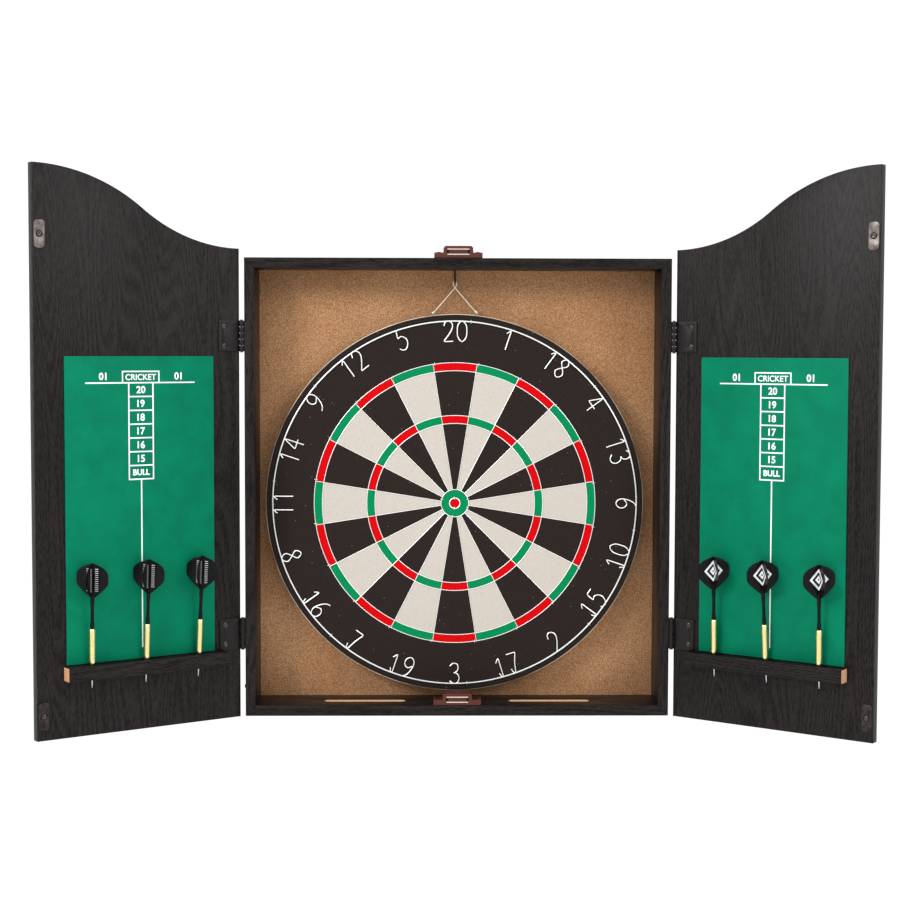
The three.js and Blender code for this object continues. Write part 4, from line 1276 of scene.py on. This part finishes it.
HOOP_WIRE, FIGURE_WIRE = 0.95 * MM, 0.7 * MM
low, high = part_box("number_ring")
hoop_y = low.y + HOOP_WIRE
hoop_radius = (high.x - low.x) / 2 - HOOP_WIRE
paths = []
for i, number in enumerate(NUMBERS):
    digits = str(number)
    run = len(digits) * FIGURE_WIDTH + (len(digits) - 1) * FIGURE_GAP
    flip = -1 if number in FEET_OUT else 1
    turn = 2 * math.pi * i / SEGMENTS
    for place, digit in enumerate(digits):
        start = place * (FIGURE_WIDTH + FIGURE_GAP) - run / 2
        bends = FIGURES[digit]
        if flip < 0 and digit == "7":
            bends = [bend[::-1] for bend in bends[::-1]]
        if flip < 0 and digit in TAILS:
            bends = [TAILS[digit], *bends]
        line = []
        for bend in bends:
            bent = smooth_bend([Vector((x, y, 0)) for x, y in bend])
            line += bent[1:] if line else bent
        path = []
        for p in eased_corners(line):
            across = flip * (start + p.x * FIGURE_WIDTH)
            height = p.y if flip < 0 else 1 - p.y
            out = hoop_radius + FIGURE_REST - height * FIGURE_HEIGHT
            x = across * math.cos(turn) + out * math.sin(turn)
            z = out * math.cos(turn) - across * math.sin(turn)
            path.append(centre + Vector((x, hoop_y, z)))
        closed = (path[0] - path[-1]).length < 1e-6
        paths.append((path[:-1] if closed else path, closed))
hoop = wire_mesh([ring_path(hoop_radius, hoop_y, 144)], HOOP_WIRE, bright_wire, 10)
figures = wire_mesh(paths, FIGURE_WIRE, bright_wire, 6)
number_ring = mesh_piece("number_ring_wire", joined(hoop, figures), bright_wire)
fasten(number_ring, "number_ring", "plated_wire", "number_ring")

# Staples over the hoop, driven into the board on both sides of it.
spots = [(hoop_radius, math.radians(d)) for d in (5, 50, 98.5, 132, 176, 223, 277, 310)]
ring_staples = staple_row(1.9 * MM, 2.9 * MM, 0.5 * MM, 0.9 * MM, 3, 0.38 * MM, 6, spots)
fasten(mesh_piece("number_ring_staples", ring_staples, bright_wire), "dartboard", "plated_wire")

# ------------------------------------------------------------------ hanger wire
# The board hangs by a bent steel wire: an eye on the hook, a short twisted neck, and two legs that
# spread to the rim, where their ends are wound round small staples.

# Pale yellow-plated wire.
pale_plating = mottled(
    "pale_plated_hanger_wire", "e6d9bf", "fff6e4", 2.0 * MM, 0.01 * MM, Metallic=0.4, Roughness=0.4
)

EYE_HEIGHT, EYE_HALF = 7.2 * MM, 2.0 * MM  # to the wire's middle
NECK = 1.4 * MM
WOUND_TURNS, WOUND_PITCH = 3, 1.05 * MM
WOUND_ABOVE_FOOT = 1.0 * MM
low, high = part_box("board_hanger_wire")
hanger_y = (low.y + high.y) / 2
eye_x = (low.x + high.x) / 2
foot_z = low.z + 1.0 * MM
half_spread = (high.x - low.x) / 2 - 0.8 * MM
eye_centre = high.z - HANGER_STRAND - EYE_HEIGHT / 2
twist = HANGER_STRAND * 1.1
forwards = Vector((0, 1, 0))
paths = []
for s in (-1, 1):
    path = []
    for k in range(13):
        a = math.pi * k / 12
        # Straight sides between two half rounds leave room for the board to be lifted off.
        arc_z = eye_centre + math.copysign(EYE_HEIGHT / 2 - EYE_HALF, math.cos(a))
        path.append(Vector((eye_x + s * EYE_HALF * math.sin(a), hanger_y, arc_z + EYE_HALF * math.cos(a))))
    # The two strands twist once round each other below the eye.
    for k in range(1, 9):
        a = math.pi * 2 * k / 8
        x, y = eye_x + s * twist * math.sin(a), hanger_y + s * twist * (1 - math.cos(a)) / 2
        path.append(Vector((x, y, eye_centre - EYE_HEIGHT / 2 - NECK * k / 8)))
    foot = Vector((eye_x + s * half_spread, hanger_y, foot_z))
    start = path[-1]
    path += [start.lerp(foot, 0.5), foot]
    paths.append((path, False))
    # The wound end: a few turns round the leg.
    along = (start - foot).normalized()
    side_way = along.cross(forwards).normalized()
    coil = []
    for k in range(WOUND_TURNS * 8 + 1):
        a = 2 * math.pi * k / 8
        middle = foot + along * (WOUND_ABOVE_FOOT + WOUND_PITCH * k / 8)
        coil.append(middle + (side_way * math.cos(a) + forwards * math.sin(a)) * HANGER_STRAND * 1.6)
    paths.append((coil, False))
hanger = wire_mesh(paths, HANGER_STRAND, pale_plating, 6)
hanger = mesh_piece("board_hanger_twisted_wire", hanger, pale_plating)
fasten(hanger, "dartboard", "plated_wire", "board_hanger_wire")

# ------------------------------------------------------------------ screw in the left side
# One small dark screw head stands on the outside of the left board, low down.

low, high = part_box("cabinet_left_side")
at = Matrix.Translation((low.x, low.y + 6 * MM, low.z + 35 * MM)) @ Matrix.Rotation(-math.pi / 2, 4, "Y")
screw = screw_head(2.6 * MM, 1.4 * MM, 7 * MM)
screw.transform(at)
fasten(mesh_piece("cabinet_left_side_screw", screw, black_lacquer), "cabinet", "black_steel")

# ------------------------------------------------------------------ floor, light and camera
# A plain pale floor well below the wall box, soft light from all round, one softbox above
# and one on each side, whose sheen lies on the upper part of the doors.

FLOOR = -1.15
bm = bmesh.new()
bmesh.ops.create_grid(bm, x_segments=1, y_segments=1, size=30)
bm.transform(Matrix.Translation((0, 0, FLOOR)))
floor_paint = mottled(
    "pale_painted_floor", "fcfcfc", "fefefe", 900 * MM, 0.01 * MM, Roughness=0.9, IOR=1.2
)
floor = mesh_piece("floor", bm, floor_paint)

scene = bpy.context.scene
scene.view_settings.view_transform = "Standard"
world = bpy.data.worlds.new("studio")
scene.world = world
world.use_nodes = True
sky = world.node_tree.nodes["Background"]
sky.inputs["Color"].default_value = (1, 1, 1, 1)
sky.inputs["Strength"].default_value = 1.06


def area_light(name, size, power, place, target):
    """A square soft light that faces a point."""
    lamp = bpy.data.lights.new(name, "AREA")
    lamp.size = size
    lamp.energy = power
    light = bpy.data.objects.new(name, lamp)
    light.location = place
    light.rotation_mode = "QUATERNION"
    light.rotation_quaternion = (Vector(target) - Vector(place)).to_track_quat("-Z", "Y")
    scene.collection.objects.link(light)


area_light("top_softbox", 0.9, 2, (-0.25, -1.1, 1.35), (0, 0, 0.1))
area_light("left_softbox", 0.6, 21, (-1.35, -1.45, 0.95), (0, 0, 0.15))
area_light("right_softbox", 0.6, 11, (1.35, -1.45, 0.95), (0, 0, 0.15))

CAMERA_PLACE = (-0.0369, -2.1957, 0.1657)
YAW, PITCH, ROLL = math.radians(0.98), math.radians(3.23), math.radians(0.15)
forward = Vector((math.sin(YAW) * math.cos(PITCH), math.cos(YAW) * math.cos(PITCH), -math.sin(PITCH)))
level_right = Vector((math.cos(YAW), -math.sin(YAW), 0))
level_up = level_right.cross(forward)
camera_right = level_right * math.cos(ROLL) + level_up * math.sin(ROLL)
camera_up = level_up * math.cos(ROLL) - level_right * math.sin(ROLL)
lens = bpy.data.cameras.new("camera")
lens.sensor_width = 36
lens.lens = 70.62
camera = bpy.data.objects.new("camera", lens)
turn = Matrix((camera_right, camera_up, -forward)).transposed()
camera.matrix_world = Matrix.Translation(CAMERA_PLACE) @ turn.to_4x4()
scene.collection.objects.link(camera)
scene.camera = camera

bpy.context.view_layer.update()
